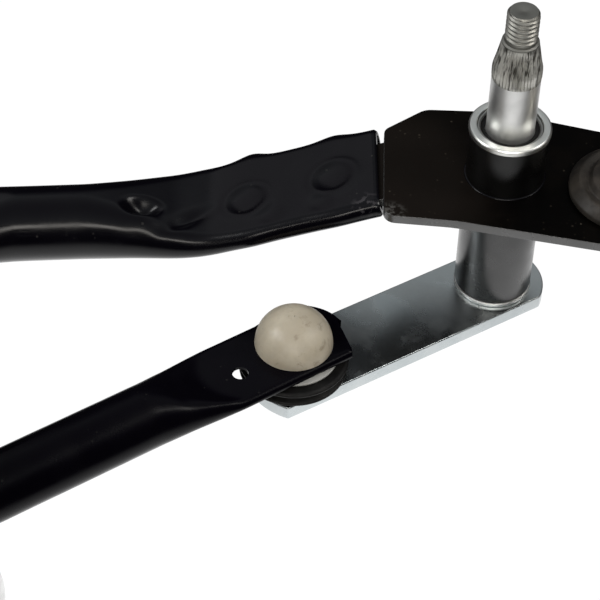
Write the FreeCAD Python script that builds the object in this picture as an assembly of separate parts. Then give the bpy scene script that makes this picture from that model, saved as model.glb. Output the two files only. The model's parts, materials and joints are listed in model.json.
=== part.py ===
"""Windshield wiper assembly: a tubular frame carries two pivot bearings and a gear motor.

The motor's two-ended crank moves both crank arms through pressed-tube drive links, and each
arm turns a shaft whose serrated end takes a wiper arm.

Millimetres. +Z is up along the three parallel turning axes, and +X points to the right-hand end.
The origin is the centre of the right-hand fixing bore, level with the top of the bracket plates.
"""
import FreeCAD, Part
import math
import os

Vec = FreeCAD.Vector
Z_UP = Vec(0, 0, 1)

# Layout of the axes, seen from above.
RIGHT_FIXING = Vec(0, 0, 0)
RIGHT_PIVOT = Vec(-31.0, 5.5, 0)
MOTOR_AXIS = RIGHT_PIVOT + Vec(-240.0, -75.0, 0)
LEFT_PIVOT = RIGHT_PIVOT + Vec(-530.0, -15.0, 0)
LEFT_FIXING = LEFT_PIVOT + Vec(-31.0, -1.0, 0)
MOTOR_FIXING = MOTOR_AXIS + Vec(-28.0, -72.0, 0)
ARM_CENTRES = 61.0
RIGHT_ARM_HEADING = 213.2
LEFT_ARM_HEADING = RIGHT_ARM_HEADING - 180.0
RIGHT_TUBE_HEADING = 185.66

# Sheet and tube stock.
PLATE_THICKNESS = 2.5
FRAME_TUBE_DIAMETER = 19.0
FRAME_TUBE_WALL = 1.5
CRIMP_WIDTH = 28.4
CRIMP_THICKNESS = 5.6
CRIMP_RUN = 46.0
TONGUE_WIDTH = 20.8
TONGUE_LENGTH = 42.0
TONGUE_ROOT = 29.0
LINK_TUBE_DIAMETER = 16.0
LINK_TUBE_WALL = 1.5
LINK_FLAT_WIDTH = 20.6
LINK_FLAT_THICKNESS = 3.0

# Heights along the pivot axis.
ARM_TOP = -37.7
ARM_THICKNESS = 4.0
ARM_BOTTOM = ARM_TOP - ARM_THICKNESS
BALL_HEIGHT = 9.0
BALL_Z = ARM_TOP + BALL_HEIGHT
LINK_TOP = BALL_Z
LINK_MID_Z = LINK_TOP - LINK_FLAT_THICKNESS / 2
HOUSING_BOTTOM = -36.2
HOUSING_TOP = 14.4
RING_TOP = 15.8
TAPER_START = 34.2
TAPER_END = 42.2
SHAFT_TOP = 50.7
TUBE_LEVEL_Z = -17.8
CRIMP_START_Z = -2.0

# Pivot bearing.
SHAFT_RADIUS = 6.0
RUNNING_CLEARANCE = 0.05
THREAD_RADIUS = 4.0
TAPER_TIP_RADIUS = 4.45
HOUSING_RADIUS = 9.85
HOUSING_BORE = 8.45
BUSH_LENGTH = 15.0
RING_RADIUS = 10.2
RING_BORE = 8.5

# Crank arm, ball joint and drive link end.
ARM_HALF_WIDTH = 11.2
STUD_SHANK_RADIUS = 4.0
SHAFT_SPIGOT_RADIUS = 5.2
CRANK_BORE = 4.5
HUB_END_RADIUS = 13.4
EYE_END_RADIUS = 18.5
EYE_END_SHIFT = 6.5
BALL_RADIUS = 6.5
SOCKET_CAVITY_RADIUS = 6.65
SOCKET_DOME_RADIUS = 9.85
SOCKET_BODY_RADIUS = 8.5
BOOT_RADIUS = 14.2
LINK_END_RADIUS = 14.4
LINK_STEP = 22.0
LINK_ROUND_START = 42.0
TOOLING_HOLE_RADIUS = 2.0

# Rubber mount.
FIXING_BORE_RADIUS = 4.25
SLEEVE_RADIUS = 7.2
SLEEVE_LENGTH = 15.0
GROMMET_RADIUS = 15.6
GROMMET_NECK = 11.5
EAR_RADIUS = 20.3

# Gear motor.
CAN_HEADING = -52.0
WHEEL_RADIUS = 31.0
WORM_RADIUS = 5.0
GEAR_CHAMBER_RADIUS = 35.0
GEAR_HOUSING_RADIUS = 39.0
GEAR_HOUSING_HEIGHT = 26.0
WORM_Z = 16.5
WORM_OFFSET = WHEEL_RADIUS + WORM_RADIUS + 0.4
WHEEL_TEETH = 60
CAN_RADIUS = 26.0
CAN_WALL = 1.5
CAN_START = 47.0
CAN_LENGTH = 95.0
OUTPUT_SHAFT_RADIUS = 5.0
MOTOR_SCREW_CIRCLE = 45.0
MOTOR_SCREW_RADIUS = 3.0
MOTOR_SCREW_ANGLES = (75.0, 165.0, 255.0)
COVER_TOP = GEAR_HOUSING_HEIGHT + 5.0
COVER_SCREW_ANGLES = (0.0, 90.0, 180.0, 285.0)
COVER_SCREW_CIRCLE = 42.0
CAN_SCREW_OFFSETS = (-CAN_RADIUS - 5.5, CAN_RADIUS + 5.5)
CONNECTOR_WIDTH = 24.0
CONNECTOR_HEIGHT = 13.0
CONNECTOR_DEPTH = 22.0


# ---------------------------------------------------------------- helpers


def heading(degrees):
    """Unit vector in plan, anticlockwise from +X."""
    return Vec(math.cos(math.radians(degrees)), math.sin(math.radians(degrees)), 0)


def plan_angle(vector):
    return math.degrees(math.atan2(vector.y, vector.x))


def at_height(point, z):
    return Vec(point.x, point.y, z)


def placed(shape, position, turn=0.0):
    """Turn a shape about the local Z axis, then carry it to its position."""
    moved = shape.copy()
    moved.rotate(Vec(0, 0, 0), Z_UP, turn)
    moved.translate(position)
    return moved


def save(node, shape):
    shape.exportStep(os.path.join("parts", node + ".step"))


def cylinder(radius, low, high, centre=Vec(0, 0, 0)):
    return Part.makeCylinder(radius, high - low, at_height(centre, low), Z_UP)


def turned(profile):
    """Solid of revolution about Z from (radius, z) corners."""
    corners = [Vec(radius, 0, z) for radius, z in profile]
    face = Part.Face(Part.makePolygon(corners + corners[:1]))
    return face.revolve(Vec(0, 0, 0), Z_UP, 360)


def ring(inner, outer, low, high):
    return turned([(inner, low), (outer, low), (outer, high), (inner, high)])


def prism(corners, low, high):
    """Upright prism over plan corners; each corner is (x, y) or (x, y, fillet radius)."""
    points = [Vec(corner[0], corner[1], low) for corner in corners]
    radii = [corner[2] if len(corner) > 2 else 0 for corner in corners]
    return Part.Face(rounded_outline(points, radii)).extrude(Vec(0, 0, high - low))


def rounded_outline(points, radii):
    """Closed wire of straight edges whose corners are rounded by tangent arcs."""
    edges = []
    ends = []
    for index, point in enumerate(points):
        before = (points[index - 1] - point).normalize()
        after = (points[(index + 1) % len(points)] - point).normalize()
        if radii[index] == 0:
            ends.append((point, point, None))
            continue
        half_angle = before.getAngle(after) / 2
        setback = radii[index] / math.tan(half_angle)
        reach = radii[index] / math.sin(half_angle) - radii[index]
        middle = point + (before + after).normalize() * reach
        ends.append((point + before * setback, point + after * setback, middle))
    for index, (start, finish, middle) in enumerate(ends):
        if middle is not None:
            edges.append(Part.Arc(start, middle, finish).toShape())
        edges.append(Part.LineSegment(finish, ends[(index + 1) % len(ends)][0]).toShape())
    return Part.Wire(edges)


# ---------------------------------------------------------------- formed tubes


SECTION_POINTS = 28


def stadium_point(width, thickness, travel):
    """Point on a stadium's edge, a given distance round from its right-most point."""
    radius = thickness / 2
    straight = (width - thickness) / 2
    arc = radius * math.pi / 2
    quarter = arc + straight
    half_turns, rest = divmod(travel, 2 * quarter)
    mirrored = rest > quarter
    if mirrored:
        rest = 2 * quarter - rest
    if rest < arc:
        x, y = straight + radius * math.cos(rest / radius), radius * math.sin(rest / radius)
    else:
        x, y = straight - (rest - arc), radius
    if mirrored:
        x = -x
    return (x, y) if half_turns % 2 == 0 else (-x, -y)


def flattened_section(width, thickness, centre, along, across):
    """Closed curve round a squashed tube: equal steps along a stadium's edge."""
    upward = along.cross(across)
    perimeter = 2 * (width - thickness) + math.pi * thickness
    points = []
    for index in range(SECTION_POINTS):
        x, y = stadium_point(width, thickness, (index + 0.5) * perimeter / SECTION_POINTS)
        points.append(centre + across * x + upward * y)
    curve = Part.BSplineCurve()
    curve.interpolate(Points=points, PeriodicFlag=True)
    return Part.Wire(curve.toShape())


def smooth_route(corners, radius):
    """Straight runs joined by tangent arcs, as one wire."""
    edges = []
    start = corners[0]
    for before, corner, after in zip(corners, corners[1:], corners[2:]):
        back = (before - corner).normalize()
        ahead = (after - corner).normalize()
        half_angle = back.getAngle(ahead) / 2
        setback = radius / math.tan(half_angle)
        reach = radius / math.sin(half_angle) - radius
        arc_start = corner + back * setback
        arc_end = corner + ahead * setback
        middle = corner + (back + ahead).normalize() * reach
        edges.append(Part.LineSegment(start, arc_start).toShape())
        edges.append(Part.Arc(arc_start, middle, arc_end).toShape())
        start = arc_end
    edges.append(Part.LineSegment(start, corners[-1]).toShape())
    return edges


def route_frame(edges, distance):
    """Point and direction at a distance along the route's edges."""
    left = distance
    for edge in edges[:-1]:
        if left <= edge.Length:
            break
        left -= edge.Length
    else:
        edge = edges[-1]
    parameter = edge.getParameterByLength(min(left, edge.Length))
    return edge.valueAt(parameter), edge.tangentAt(parameter)


def formed_tube(edges, stations):
    """Loft through (distance, width, thickness) stations along a route."""
    wires = []
    for distance, width, thickness in stations:
        centre, along = route_frame(edges, distance)
        across = Z_UP.cross(along).normalize()
        wires.append(flattened_section(width, thickness, centre, along, across))
    return Part.makeLoft(wires, True, True)


def mirrored_stations(near_end, length, middle_step):
    """Stations of one end, evenly spaced round sections between, then the same end again."""
    last, width, thickness = near_end[-1]
    span = length - 2 * last
    count = max(2, round(span / middle_step))
    middle = [(last + span * step / count, width, thickness) for step in range(1, count)]
    far_end = [(length - distance, w, t) for distance, w, t in reversed(near_end)]
    return near_end + middle + far_end


def frame_tube(start, corner_a, corner_b, finish):
    """Round tube whose two ends slope up and are squashed flat over bracket tongues."""
    edges = smooth_route([start, corner_a, corner_b, finish], 40.0)
    length = sum(edge.Length for edge in edges)
    round_width = FRAME_TUBE_DIAMETER
    end = [
        (0.0, CRIMP_WIDTH, CRIMP_THICKNESS),
        (38.0, CRIMP_WIDTH, CRIMP_THICKNESS),
        (42.0, CRIMP_WIDTH - 0.3, CRIMP_THICKNESS + 0.4),
        (47.0, CRIMP_WIDTH - 1.1, CRIMP_THICKNESS + 1.6),
        (52.0, 25.9, 8.8),
        (58.0, 24.0, 11.6),
        (64.0, 21.9, 14.5),
        (70.0, 20.2, 17.2),
        (76.0, round_width, round_width),
    ]
    stations = mirrored_stations(end, length, 40.0)
    hollow = [(d, w - 2 * FRAME_TUBE_WALL, t - 2 * FRAME_TUBE_WALL) for d, w, t in stations]
    return formed_tube(edges, stations).cut(formed_tube(edges, hollow))


def link_tube(ball_a, ball_b, via):
    """Drive link: tube with both ends pressed flat, pierced for the sockets."""
    first = (via[0] if via else ball_b) - ball_a
    last = (via[-1] if via else ball_a) - ball_b
    start = ball_a - first.normalize() * LINK_END_RADIUS
    finish = ball_b - last.normalize() * LINK_END_RADIUS
    route = [at_height(point, LINK_MID_Z) for point in [start] + via + [finish]]
    edges = smooth_route(route, 60.0)
    length = sum(edge.Length for edge in edges)
    flat = LINK_FLAT_WIDTH
    thin = LINK_FLAT_THICKNESS
    diameter = LINK_TUBE_DIAMETER
    step = LINK_END_RADIUS + LINK_STEP
    round_start = LINK_END_RADIUS + LINK_ROUND_START
    end = [
        (0.0, flat, thin),
        (12.0, flat, thin),
        (24.0, flat, thin),
        (step - 3.0, flat, thin),
        (step, flat - 0.3, thin + 1.0),
        (step + 5.0, 19.4, 7.6),
        (step + 12.0, 17.6, 12.8),
        (round_start, diameter, diameter),
        (round_start + 5.0, diameter, diameter),
    ]
    stations = mirrored_stations(end, length, 9.0)
    wall = 2 * LINK_TUBE_WALL
    hollow_end = [
        (step + 2.0, 15.0, 1.0),
        (step + 6.0, 15.8, 5.2),
        (step + 12.0, 17.6 - wall, 12.8 - wall),
        (round_start, diameter - wall, diameter - wall),
        (round_start + 5.0, diameter - wall, diameter - wall),
    ]
    body = formed_tube(edges, stations)
    body = body.cut(formed_tube(edges, mirrored_stations(hollow_end, length, 9.0)))
    for ball, direction in ((ball_a, first), (ball_b, last)):
        body = body.cut(placed(link_end_cutter(), ball, plan_angle(direction)))
    return body


def link_end_cutter():
    """What is cut from a pressed end, with the link running along +X from the ball."""
    low = LINK_TOP - 2 * LINK_FLAT_THICKNESS
    high = LINK_TOP + LINK_FLAT_THICKNESS
    reach = 3 * LINK_END_RADIUS
    block = prism([(0, 0), (0, -reach), (-reach, -reach), (-reach, 0)], low, high)
    rounded_corner = block.cut(cylinder(LINK_END_RADIUS - 0.3, low - 1, high + 1))
    slant = [(-14.3, -3.0), (-10.9, 10.8), (-10.9, reach), (-reach, reach), (-reach, -3.0)]
    slanted_end = prism(slant, low, high)
    socket_hole = cylinder(SOCKET_BODY_RADIUS + 0.05, low, high)
    tooling_hole = cylinder(TOOLING_HOLE_RADIUS, low, high, Vec(16.7, 1.5, 0))
    return rounded_corner.fuse([slanted_end, socket_hole, tooling_hole])


# ---------------------------------------------------------------- sheet-metal frame


def tongue(width, slope_length):
    """Bracket tongue along +X from the origin: level root, then bent down to enter the tube."""
    drop = TUBE_LEVEL_Z - CRIMP_START_Z
    slope = math.atan2(-drop, CRIMP_RUN)
    thickness = PLATE_THICKNESS
    root = -8.0
    tip_x = slope_length * math.cos(slope)
    tip_z = -slope_length * math.sin(slope)
    shift = Vec(thickness * math.sin(slope), 0, thickness * math.cos(slope))
    corners = [
        Vec(root, 0, 0),
        Vec(0, 0, 0),
        Vec(tip_x, 0, tip_z),
        Vec(tip_x - shift.x, 0, tip_z - shift.z),
        Vec(-thickness * math.tan(slope / 2), 0, -thickness),
        Vec(root, 0, -thickness),
    ]
    profile = Part.Face(Part.makePolygon(corners + corners[:1]))
    strip = profile.extrude(Vec(0, width, 0))
    strip.translate(Vec(0, -width / 2, 0))
    return strip


def pivot_plate(mirror, tube_heading, fixing_offset):
    """Plate round the pivot, +X towards the fixing ear; the tongue points back along the tube."""
    side = -1 if mirror else 1
    ear = fixing_offset
    ear_lean = math.radians(-15.0 * side)
    across = Vec(-math.sin(ear_lean), math.cos(ear_lean), 0)
    far_ear = ear + across * EAR_RADIUS * side
    near_ear = ear - across * EAR_RADIUS * side
    along = Vec(math.cos(ear_lean), math.sin(ear_lean), 0) * EAR_RADIUS
    corners = [
        (-TONGUE_ROOT - 1.2, -16.8 * side, 3.0),
        (-13.0, -18.0 * side, 40.0),
        (near_ear.x, near_ear.y, 0),
        (near_ear.x + along.x, near_ear.y + along.y, EAR_RADIUS - 0.2),
        (far_ear.x + along.x, far_ear.y + along.y, EAR_RADIUS - 0.2),
        (far_ear.x, far_ear.y, 0),
        (0.0, 23.4 * side, 30.0),
        (-19.5, 23.4 * side, 5.0),
        (-TONGUE_ROOT - 1.0, 15.0 * side, 3.0),
    ]
    plate = prism(corners, -PLATE_THICKNESS, 0)
    plate = plate.fuse(placed(tongue(TONGUE_WIDTH, TONGUE_LENGTH), Vec(-TONGUE_ROOT, 0, 0), tube_heading))
    plate = plate.cut(cylinder(HOUSING_RADIUS + 0.02, -10, 10))
    return plate.cut(cylinder(GROMMET_NECK - 0.1, -10, 10, ear)).removeSplitter()


def frame_and_brackets():
    slope_run = Vec(-CRIMP_RUN, -1.2, TUBE_LEVEL_Z - CRIMP_START_Z)
    level = heading(RIGHT_TUBE_HEADING)
    start = RIGHT_PIVOT + Vec(-31.0, 0, CRIMP_START_Z)
    corner_a = start + slope_run
    corner_b = corner_a + level * 73.5
    finish = corner_b + level * CRIMP_RUN - Vec(0, 0, slope_run.z)
    save("frame_tube_right", frame_tube(start, corner_a, corner_b, finish))
    right_plate = pivot_plate(False, plan_angle(slope_run), RIGHT_FIXING - RIGHT_PIVOT)
    save("pivot_plate_right", placed(right_plate, RIGHT_PIVOT))

    across_car = (LEFT_PIVOT - MOTOR_AXIS).normalize()
    drop = Vec(0, 0, slope_run.z)
    left_start = LEFT_PIVOT - across_car * 31.0 + Vec(0, 0, CRIMP_START_Z)
    left_a = left_start - across_car * CRIMP_RUN + drop
    left_finish = MOTOR_AXIS + across_car * 54.0 + Vec(0, 0, CRIMP_START_Z)
    left_b = left_finish + across_car * CRIMP_RUN + drop
    save("frame_tube_left", frame_tube(left_start, left_a, left_b, left_finish))
    turn = plan_angle(across_car)
    fixing = LEFT_FIXING - LEFT_PIVOT
    fixing.x, fixing.y = fixing.dot(heading(turn)), fixing.dot(heading(turn + 90))
    save("pivot_plate_left", placed(pivot_plate(True, 180.0, fixing), LEFT_PIVOT, turn))
    save("motor_bracket", motor_bracket(finish, plan_angle(level * -1), left_finish, turn))


def motor_bracket(right_tube, right_heading, left_tube, left_heading):
    """Plate under the gear motor, with a tongue for each frame tube and one fixing ear."""
    gap = 31.0 - TONGUE_ROOT
    right_root = at_height(right_tube, 0) - heading(right_heading) * gap
    left_root = at_height(left_tube, 0) - heading(left_heading) * gap
    right_side = heading(right_heading + 90) * 15.0
    left_side = heading(left_heading + 90) * 15.0
    ear_along = (MOTOR_FIXING - MOTOR_AXIS).normalize()
    ear_side = Vec(-ear_along.y, ear_along.x, 0) * EAR_RADIUS
    ear_end = MOTOR_FIXING + ear_along * EAR_RADIUS
    outline = [
        (right_root - right_side, 4.0),
        (right_root + right_side, 6.0),
        (MOTOR_AXIS + Vec(15.0, 76.0, 0), 12.0),
        (MOTOR_AXIS + Vec(-30.0, 52.0, 0), 14.0),
        (left_root - left_side, 4.0),
        (left_root + left_side, 4.0),
        (MOTOR_AXIS + Vec(-49.0, -34.0, 0), 12.0),
        (ear_end - ear_side, EAR_RADIUS - 0.2),
        (ear_end + ear_side, EAR_RADIUS - 0.2),
        (MOTOR_AXIS + Vec(10.0, -48.0, 0), 14.0),
        (MOTOR_AXIS + Vec(30.0, -28.0, 0), 8.0),
        (MOTOR_AXIS + Vec(38.0, -4.0, 0), 8.0),
        (MOTOR_AXIS + Vec(52.0, 12.0, 0), 8.0),
        (MOTOR_AXIS + Vec(52.0, 30.0, 0), 8.0),
    ]
    plate = prism([(p.x, p.y, radius) for p, radius in outline], -PLATE_THICKNESS, 0)
    plate = plate.fuse(placed(tongue(TONGUE_WIDTH, TONGUE_LENGTH), right_root, right_heading))
    plate = plate.fuse(placed(tongue(TONGUE_WIDTH, TONGUE_LENGTH), left_root, left_heading))
    plate = plate.cut(cylinder(14.5, -10, 10, MOTOR_AXIS))
    plate = plate.cut(cylinder(GROMMET_NECK - 0.1, -10, 10, MOTOR_FIXING))
    for angle in MOTOR_SCREW_ANGLES:
        centre = MOTOR_AXIS + heading(CAN_HEADING + angle) * MOTOR_SCREW_CIRCLE
        plate = plate.cut(cylinder(MOTOR_SCREW_RADIUS + 0.3, -10, 10, centre))
    return plate.removeSplitter()


# ---------------------------------------------------------------- rubber mounts


def rubber_mounts():
    mid = -PLATE_THICKNESS / 2
    half = SLEEVE_LENGTH / 2
    groove = PLATE_THICKNESS / 2 + 0.1
    grommet = turned([
        (SLEEVE_RADIUS + 0.02, mid - half + 1.0),
        (GROMMET_RADIUS - 3.0, mid - half + 1.0),
        (GROMMET_RADIUS, mid - groove - 1.5),
        (GROMMET_RADIUS, mid - groove),
        (GROMMET_NECK - 0.2, mid - groove),
        (GROMMET_NECK - 0.2, mid + groove),
        (GROMMET_RADIUS, mid + groove),
        (GROMMET_RADIUS, mid + groove + 1.5),
        (GROMMET_RADIUS - 3.0, mid + half - 1.0),
        (SLEEVE_RADIUS + 0.02, mid + half - 1.0),
    ])
    sleeve = turned([
        (FIXING_BORE_RADIUS, mid - half),
        (SLEEVE_RADIUS + 1.6, mid - half),
        (SLEEVE_RADIUS + 1.6, mid - half + 0.95),
        (SLEEVE_RADIUS, mid - half + 0.95),
        (SLEEVE_RADIUS, mid + half),
        (FIXING_BORE_RADIUS, mid + half),
    ])
    for name, position in (("right", RIGHT_FIXING), ("left", LEFT_FIXING), ("motor", MOTOR_FIXING)):
        save("grommet_" + name, placed(grommet, position))
        save("grommet_sleeve_" + name, placed(sleeve, position))


# ---------------------------------------------------------------- pivots, arms and ball joints


def crank_plate(length, two_ended):
    """Flat bar along +X with its hub at the origin and arc-ended eyes, pierced for the studs."""
    strip = Part.makeBox(4 * length, 2 * ARM_HALF_WIDTH, ARM_THICKNESS)
    strip.translate(Vec(-2 * length, -ARM_HALF_WIDTH, ARM_BOTTOM))
    eye_centre = length - EYE_END_SHIFT
    near_centre, near_radius = (-eye_centre, EYE_END_RADIUS) if two_ended else (0.0, HUB_END_RADIUS)
    middle = Part.makeBox(eye_centre - near_centre, 2 * ARM_HALF_WIDTH, ARM_THICKNESS)
    middle.translate(Vec(near_centre, -ARM_HALF_WIDTH, ARM_BOTTOM))
    ends = [cylinder(radius, ARM_BOTTOM, ARM_TOP, Vec(x, 0, 0)).common(strip)
            for x, radius in ((near_centre, near_radius), (eye_centre, EYE_END_RADIUS))]
    plate = middle.fuse(ends)
    for x in ([-length, length] if two_ended else [length]):
        plate = plate.cut(cylinder(STUD_SHANK_RADIUS, ARM_BOTTOM - 1, ARM_TOP + 1, Vec(x, 0, 0)))
    hub = CRANK_BORE if two_ended else SHAFT_SPIGOT_RADIUS
    return plate.cut(cylinder(hub, ARM_BOTTOM - 1, ARM_TOP + 1)).removeSplitter()


def ball_stud():
    neck = turned([
        (0, ARM_BOTTOM - 1.4),
        (5.4, ARM_BOTTOM - 1.4),
        (6.2, ARM_BOTTOM - 0.6),
        (6.2, ARM_BOTTOM),
        (STUD_SHANK_RADIUS, ARM_BOTTOM),
        (STUD_SHANK_RADIUS, ARM_TOP),
        (7.0, ARM_TOP),
        (7.0, ARM_TOP + 1.2),
        (STUD_SHANK_RADIUS, ARM_TOP + 2.2),
        (STUD_SHANK_RADIUS, BALL_Z),
        (0, BALL_Z),
    ])
    return neck.fuse(Part.makeSphere(BALL_RADIUS, Vec(0, 0, BALL_Z))).removeSplitter()


def socket():
    """Nylon snap-in socket: half-round cap above the link, skirt and rim below it."""
    body = turned([
        (0, BALL_Z),
        (SOCKET_DOME_RADIUS, BALL_Z),
        (SOCKET_DOME_RADIUS, BALL_Z + 0.4),
        (0, BALL_Z + 0.4),
    ])
    dome = Part.makeSphere(SOCKET_DOME_RADIUS, Vec(0, 0, BALL_Z), Z_UP, 0, 90, 360)
    skirt = turned([
        (0, BALL_Z),
        (SOCKET_BODY_RADIUS, BALL_Z),
        (SOCKET_BODY_RADIUS, BALL_Z - LINK_FLAT_THICKNESS - 0.1),
        (SOCKET_BODY_RADIUS + 1.0, BALL_Z - LINK_FLAT_THICKNESS - 0.6),
        (SOCKET_BODY_RADIUS, BALL_Z - 5.4),
        (0, BALL_Z - 5.4),
    ])
    cavity = Part.makeSphere(SOCKET_CAVITY_RADIUS, Vec(0, 0, BALL_Z))
    mouth = cylinder(5.6, BALL_Z - 8, BALL_Z)
    return body.fuse([dome, skirt]).cut(cavity).cut(mouth).removeSplitter()


def boot():
    """Rubber dust boot squeezed between the link and the arm."""
    top = LINK_TOP - LINK_FLAT_THICKNESS - 0.3
    bottom = ARM_TOP + 0.4
    return turned([
        (SOCKET_BODY_RADIUS + 1.3, top),
        (BOOT_RADIUS - 1.5, top),
        (BOOT_RADIUS - 0.2, top - 1.2),
        (BOOT_RADIUS - 1.6, top - 2.4),
        (BOOT_RADIUS, bottom + 0.9),
        (BOOT_RADIUS - 0.6, bottom),
        (7.8, bottom),
        (7.8, bottom + 0.9),
        (SOCKET_BODY_RADIUS + 1.3, bottom + 1.9),
    ])


def pivot_shaft():
    groove = RING_TOP + 1.3
    return turned([
        (0, ARM_BOTTOM),
        (SHAFT_SPIGOT_RADIUS, ARM_BOTTOM),
        (SHAFT_SPIGOT_RADIUS, ARM_TOP),
        (SHAFT_RADIUS, ARM_TOP),
        (SHAFT_RADIUS, groove - 4.4),
        (SHAFT_RADIUS - 0.6, groove - 4.4),
        (SHAFT_RADIUS - 0.6, groove - 3.2),
        (SHAFT_RADIUS, groove - 3.2),
        (SHAFT_RADIUS, TAPER_START),
        (TAPER_TIP_RADIUS, TAPER_END),
        (THREAD_RADIUS, TAPER_END),
        (THREAD_RADIUS, SHAFT_TOP - 1.2),
        (THREAD_RADIUS - 1.0, SHAFT_TOP),
        (0, SHAFT_TOP),
    ])


def pivot(side, position, arm_heading):
    """Everything on one pivot axis, from the riveted arm to the top ring."""
    bore = SHAFT_RADIUS + RUNNING_CLEARANCE
    ball = position + heading(arm_heading) * ARM_CENTRES
    upper_bush_top = RING_TOP - 3.4
    housing = ring(HOUSING_BORE, HOUSING_RADIUS, HOUSING_BOTTOM, HOUSING_TOP)
    save("pivot_housing_" + side, placed(housing, position))
    save("upper_bush_" + side, placed(
        ring(bore, HOUSING_BORE - 0.01, upper_bush_top - BUSH_LENGTH, upper_bush_top), position))
    lower_bush_base = HOUSING_BOTTOM + 0.1
    save("lower_bush_" + side, placed(
        ring(bore, HOUSING_BORE - 0.01, lower_bush_base, lower_bush_base + BUSH_LENGTH), position))
    save("top_ring_" + side, placed(turned([
        (HOUSING_RADIUS + 0.02, HOUSING_TOP - 0.2),
        (RING_RADIUS, HOUSING_TOP - 0.2),
        (RING_RADIUS, RING_TOP - 0.5),
        (RING_RADIUS - 0.5, RING_TOP),
        (RING_BORE + 0.3, RING_TOP),
        (RING_BORE, RING_TOP - 0.5),
        (RING_BORE, HOUSING_TOP + 0.02),
        (HOUSING_RADIUS + 0.02, HOUSING_TOP + 0.02),
    ]), position))
    save("seal_ring_" + side, placed(
        ring(SHAFT_RADIUS + 0.15, RING_BORE - 0.3, upper_bush_top + 1.9, upper_bush_top + 2.9), position))
    save("retaining_ring_" + side, placed(retaining_ring(), position, arm_heading))
    save("thrust_washer_" + side, placed(
        ring(SHAFT_RADIUS + 0.02, RING_RADIUS - 0.25, ARM_TOP, HOUSING_BOTTOM - 0.3), position))
    save("pivot_shaft_" + side, placed(pivot_shaft(), position))
    save("crank_arm_" + side, placed(crank_plate(ARM_CENTRES, False), position, arm_heading))
    save("arm_ball_stud_" + side, placed(ball_stud(), ball))
    return ball


def retaining_ring():
    """Open snap ring in the shaft's groove, just above the upper bush."""
    low = RING_TOP + 1.3 - 4.3
    whole = ring(SHAFT_RADIUS - 0.5, RING_BORE - 0.6, low, low + 1.0)
    slot = Part.makeBox(12, 4, 3)
    slot.translate(Vec(0, -2, low - 1))
    return whole.cut(slot)


def drive_link(side, arm_ball, crank_ball, via):
    save("link_tube_" + side, link_tube(arm_ball, crank_ball, via))
    for end, ball in (("outer", arm_ball), ("inner", crank_ball)):
        save(end + "_socket_" + side, placed(socket(), ball))
        save(end + "_boot_" + side, placed(boot(), ball))


# ---------------------------------------------------------------- gear motor


def along_can(radius, start, finish):
    """Cylinder on the worm axis; distances run from the wheel's centre towards the can."""
    return Part.makeCylinder(radius, finish - start, Vec(start, WORM_OFFSET, WORM_Z), Vec(1, 0, 0))


def at_motor(shape):
    return placed(shape, MOTOR_AXIS, CAN_HEADING)


def circle_points(radius, angles):
    return [heading(angle) * radius for angle in angles]


def throat(margin):
    """Flared neck from the worm tunnel to the can flange."""
    return Part.makeCone(13.0 + margin, CAN_RADIUS + margin, 16.0,
                         Vec(CAN_START - 21.0, WORM_OFFSET, WORM_Z), Vec(1, 0, 0))


def gear_housing():
    body = cylinder(GEAR_HOUSING_RADIUS, 0, GEAR_HOUSING_HEIGHT)
    tunnel = along_can(9.0, -34.0, CAN_START)
    flange = along_can(CAN_RADIUS + 1.5, CAN_START - 5.0, CAN_START)
    ears = [
        Part.makeBox(5.0, 14.0, 12.0, Vec(CAN_START - 5.0, WORM_OFFSET + offset - 7.0, WORM_Z - 6.0))
        for offset in CAN_SCREW_OFFSETS
    ]
    screw_posts = [cylinder(6.0, 0, 12.8, p)
                   for p in circle_points(MOTOR_SCREW_CIRCLE, MOTOR_SCREW_ANGLES)]
    screw_webs = [placed(Part.makeBox(9.0, 9.0, 12.0, Vec(36.0, -4.5, 0)), Vec(0, 0, 0), angle)
                  for angle in MOTOR_SCREW_ANGLES]
    cover_posts = [cylinder(4.0, 6.0, GEAR_HOUSING_HEIGHT, p)
                   for p in circle_points(COVER_SCREW_CIRCLE, COVER_SCREW_ANGLES)]
    nose = cylinder(13.0, -19.0, 1.0)
    solid = body.fuse([tunnel, flange, throat(0), nose] + ears + screw_posts + screw_webs + cover_posts)
    solid = solid.cut(cylinder(GEAR_CHAMBER_RADIUS, 4.0, GEAR_HOUSING_HEIGHT + 1))
    solid = solid.cut(along_can(7.0, -30.0, CAN_START + 1))
    solid = solid.cut(along_can(20.0, CAN_START - 9.0, CAN_START + 1))
    solid = solid.cut(cylinder(8.0, -20.0, 5.0))
    for p in circle_points(MOTOR_SCREW_CIRCLE, MOTOR_SCREW_ANGLES):
        solid = solid.cut(cylinder(MOTOR_SCREW_RADIUS - 0.2, -1.0, 8.5, p))
    for p in circle_points(COVER_SCREW_CIRCLE, COVER_SCREW_ANGLES):
        solid = solid.cut(cylinder(1.9, 20.5, GEAR_HOUSING_HEIGHT + 1, p))
    for offset in CAN_SCREW_OFFSETS:
        start = Vec(CAN_START - 8.0, WORM_OFFSET + offset, WORM_Z)
        hole = Part.makeCylinder(2.0, 12.0, start, Vec(1, 0, 0))
        solid = solid.cut(hole)
    return solid.removeSplitter()


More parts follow.
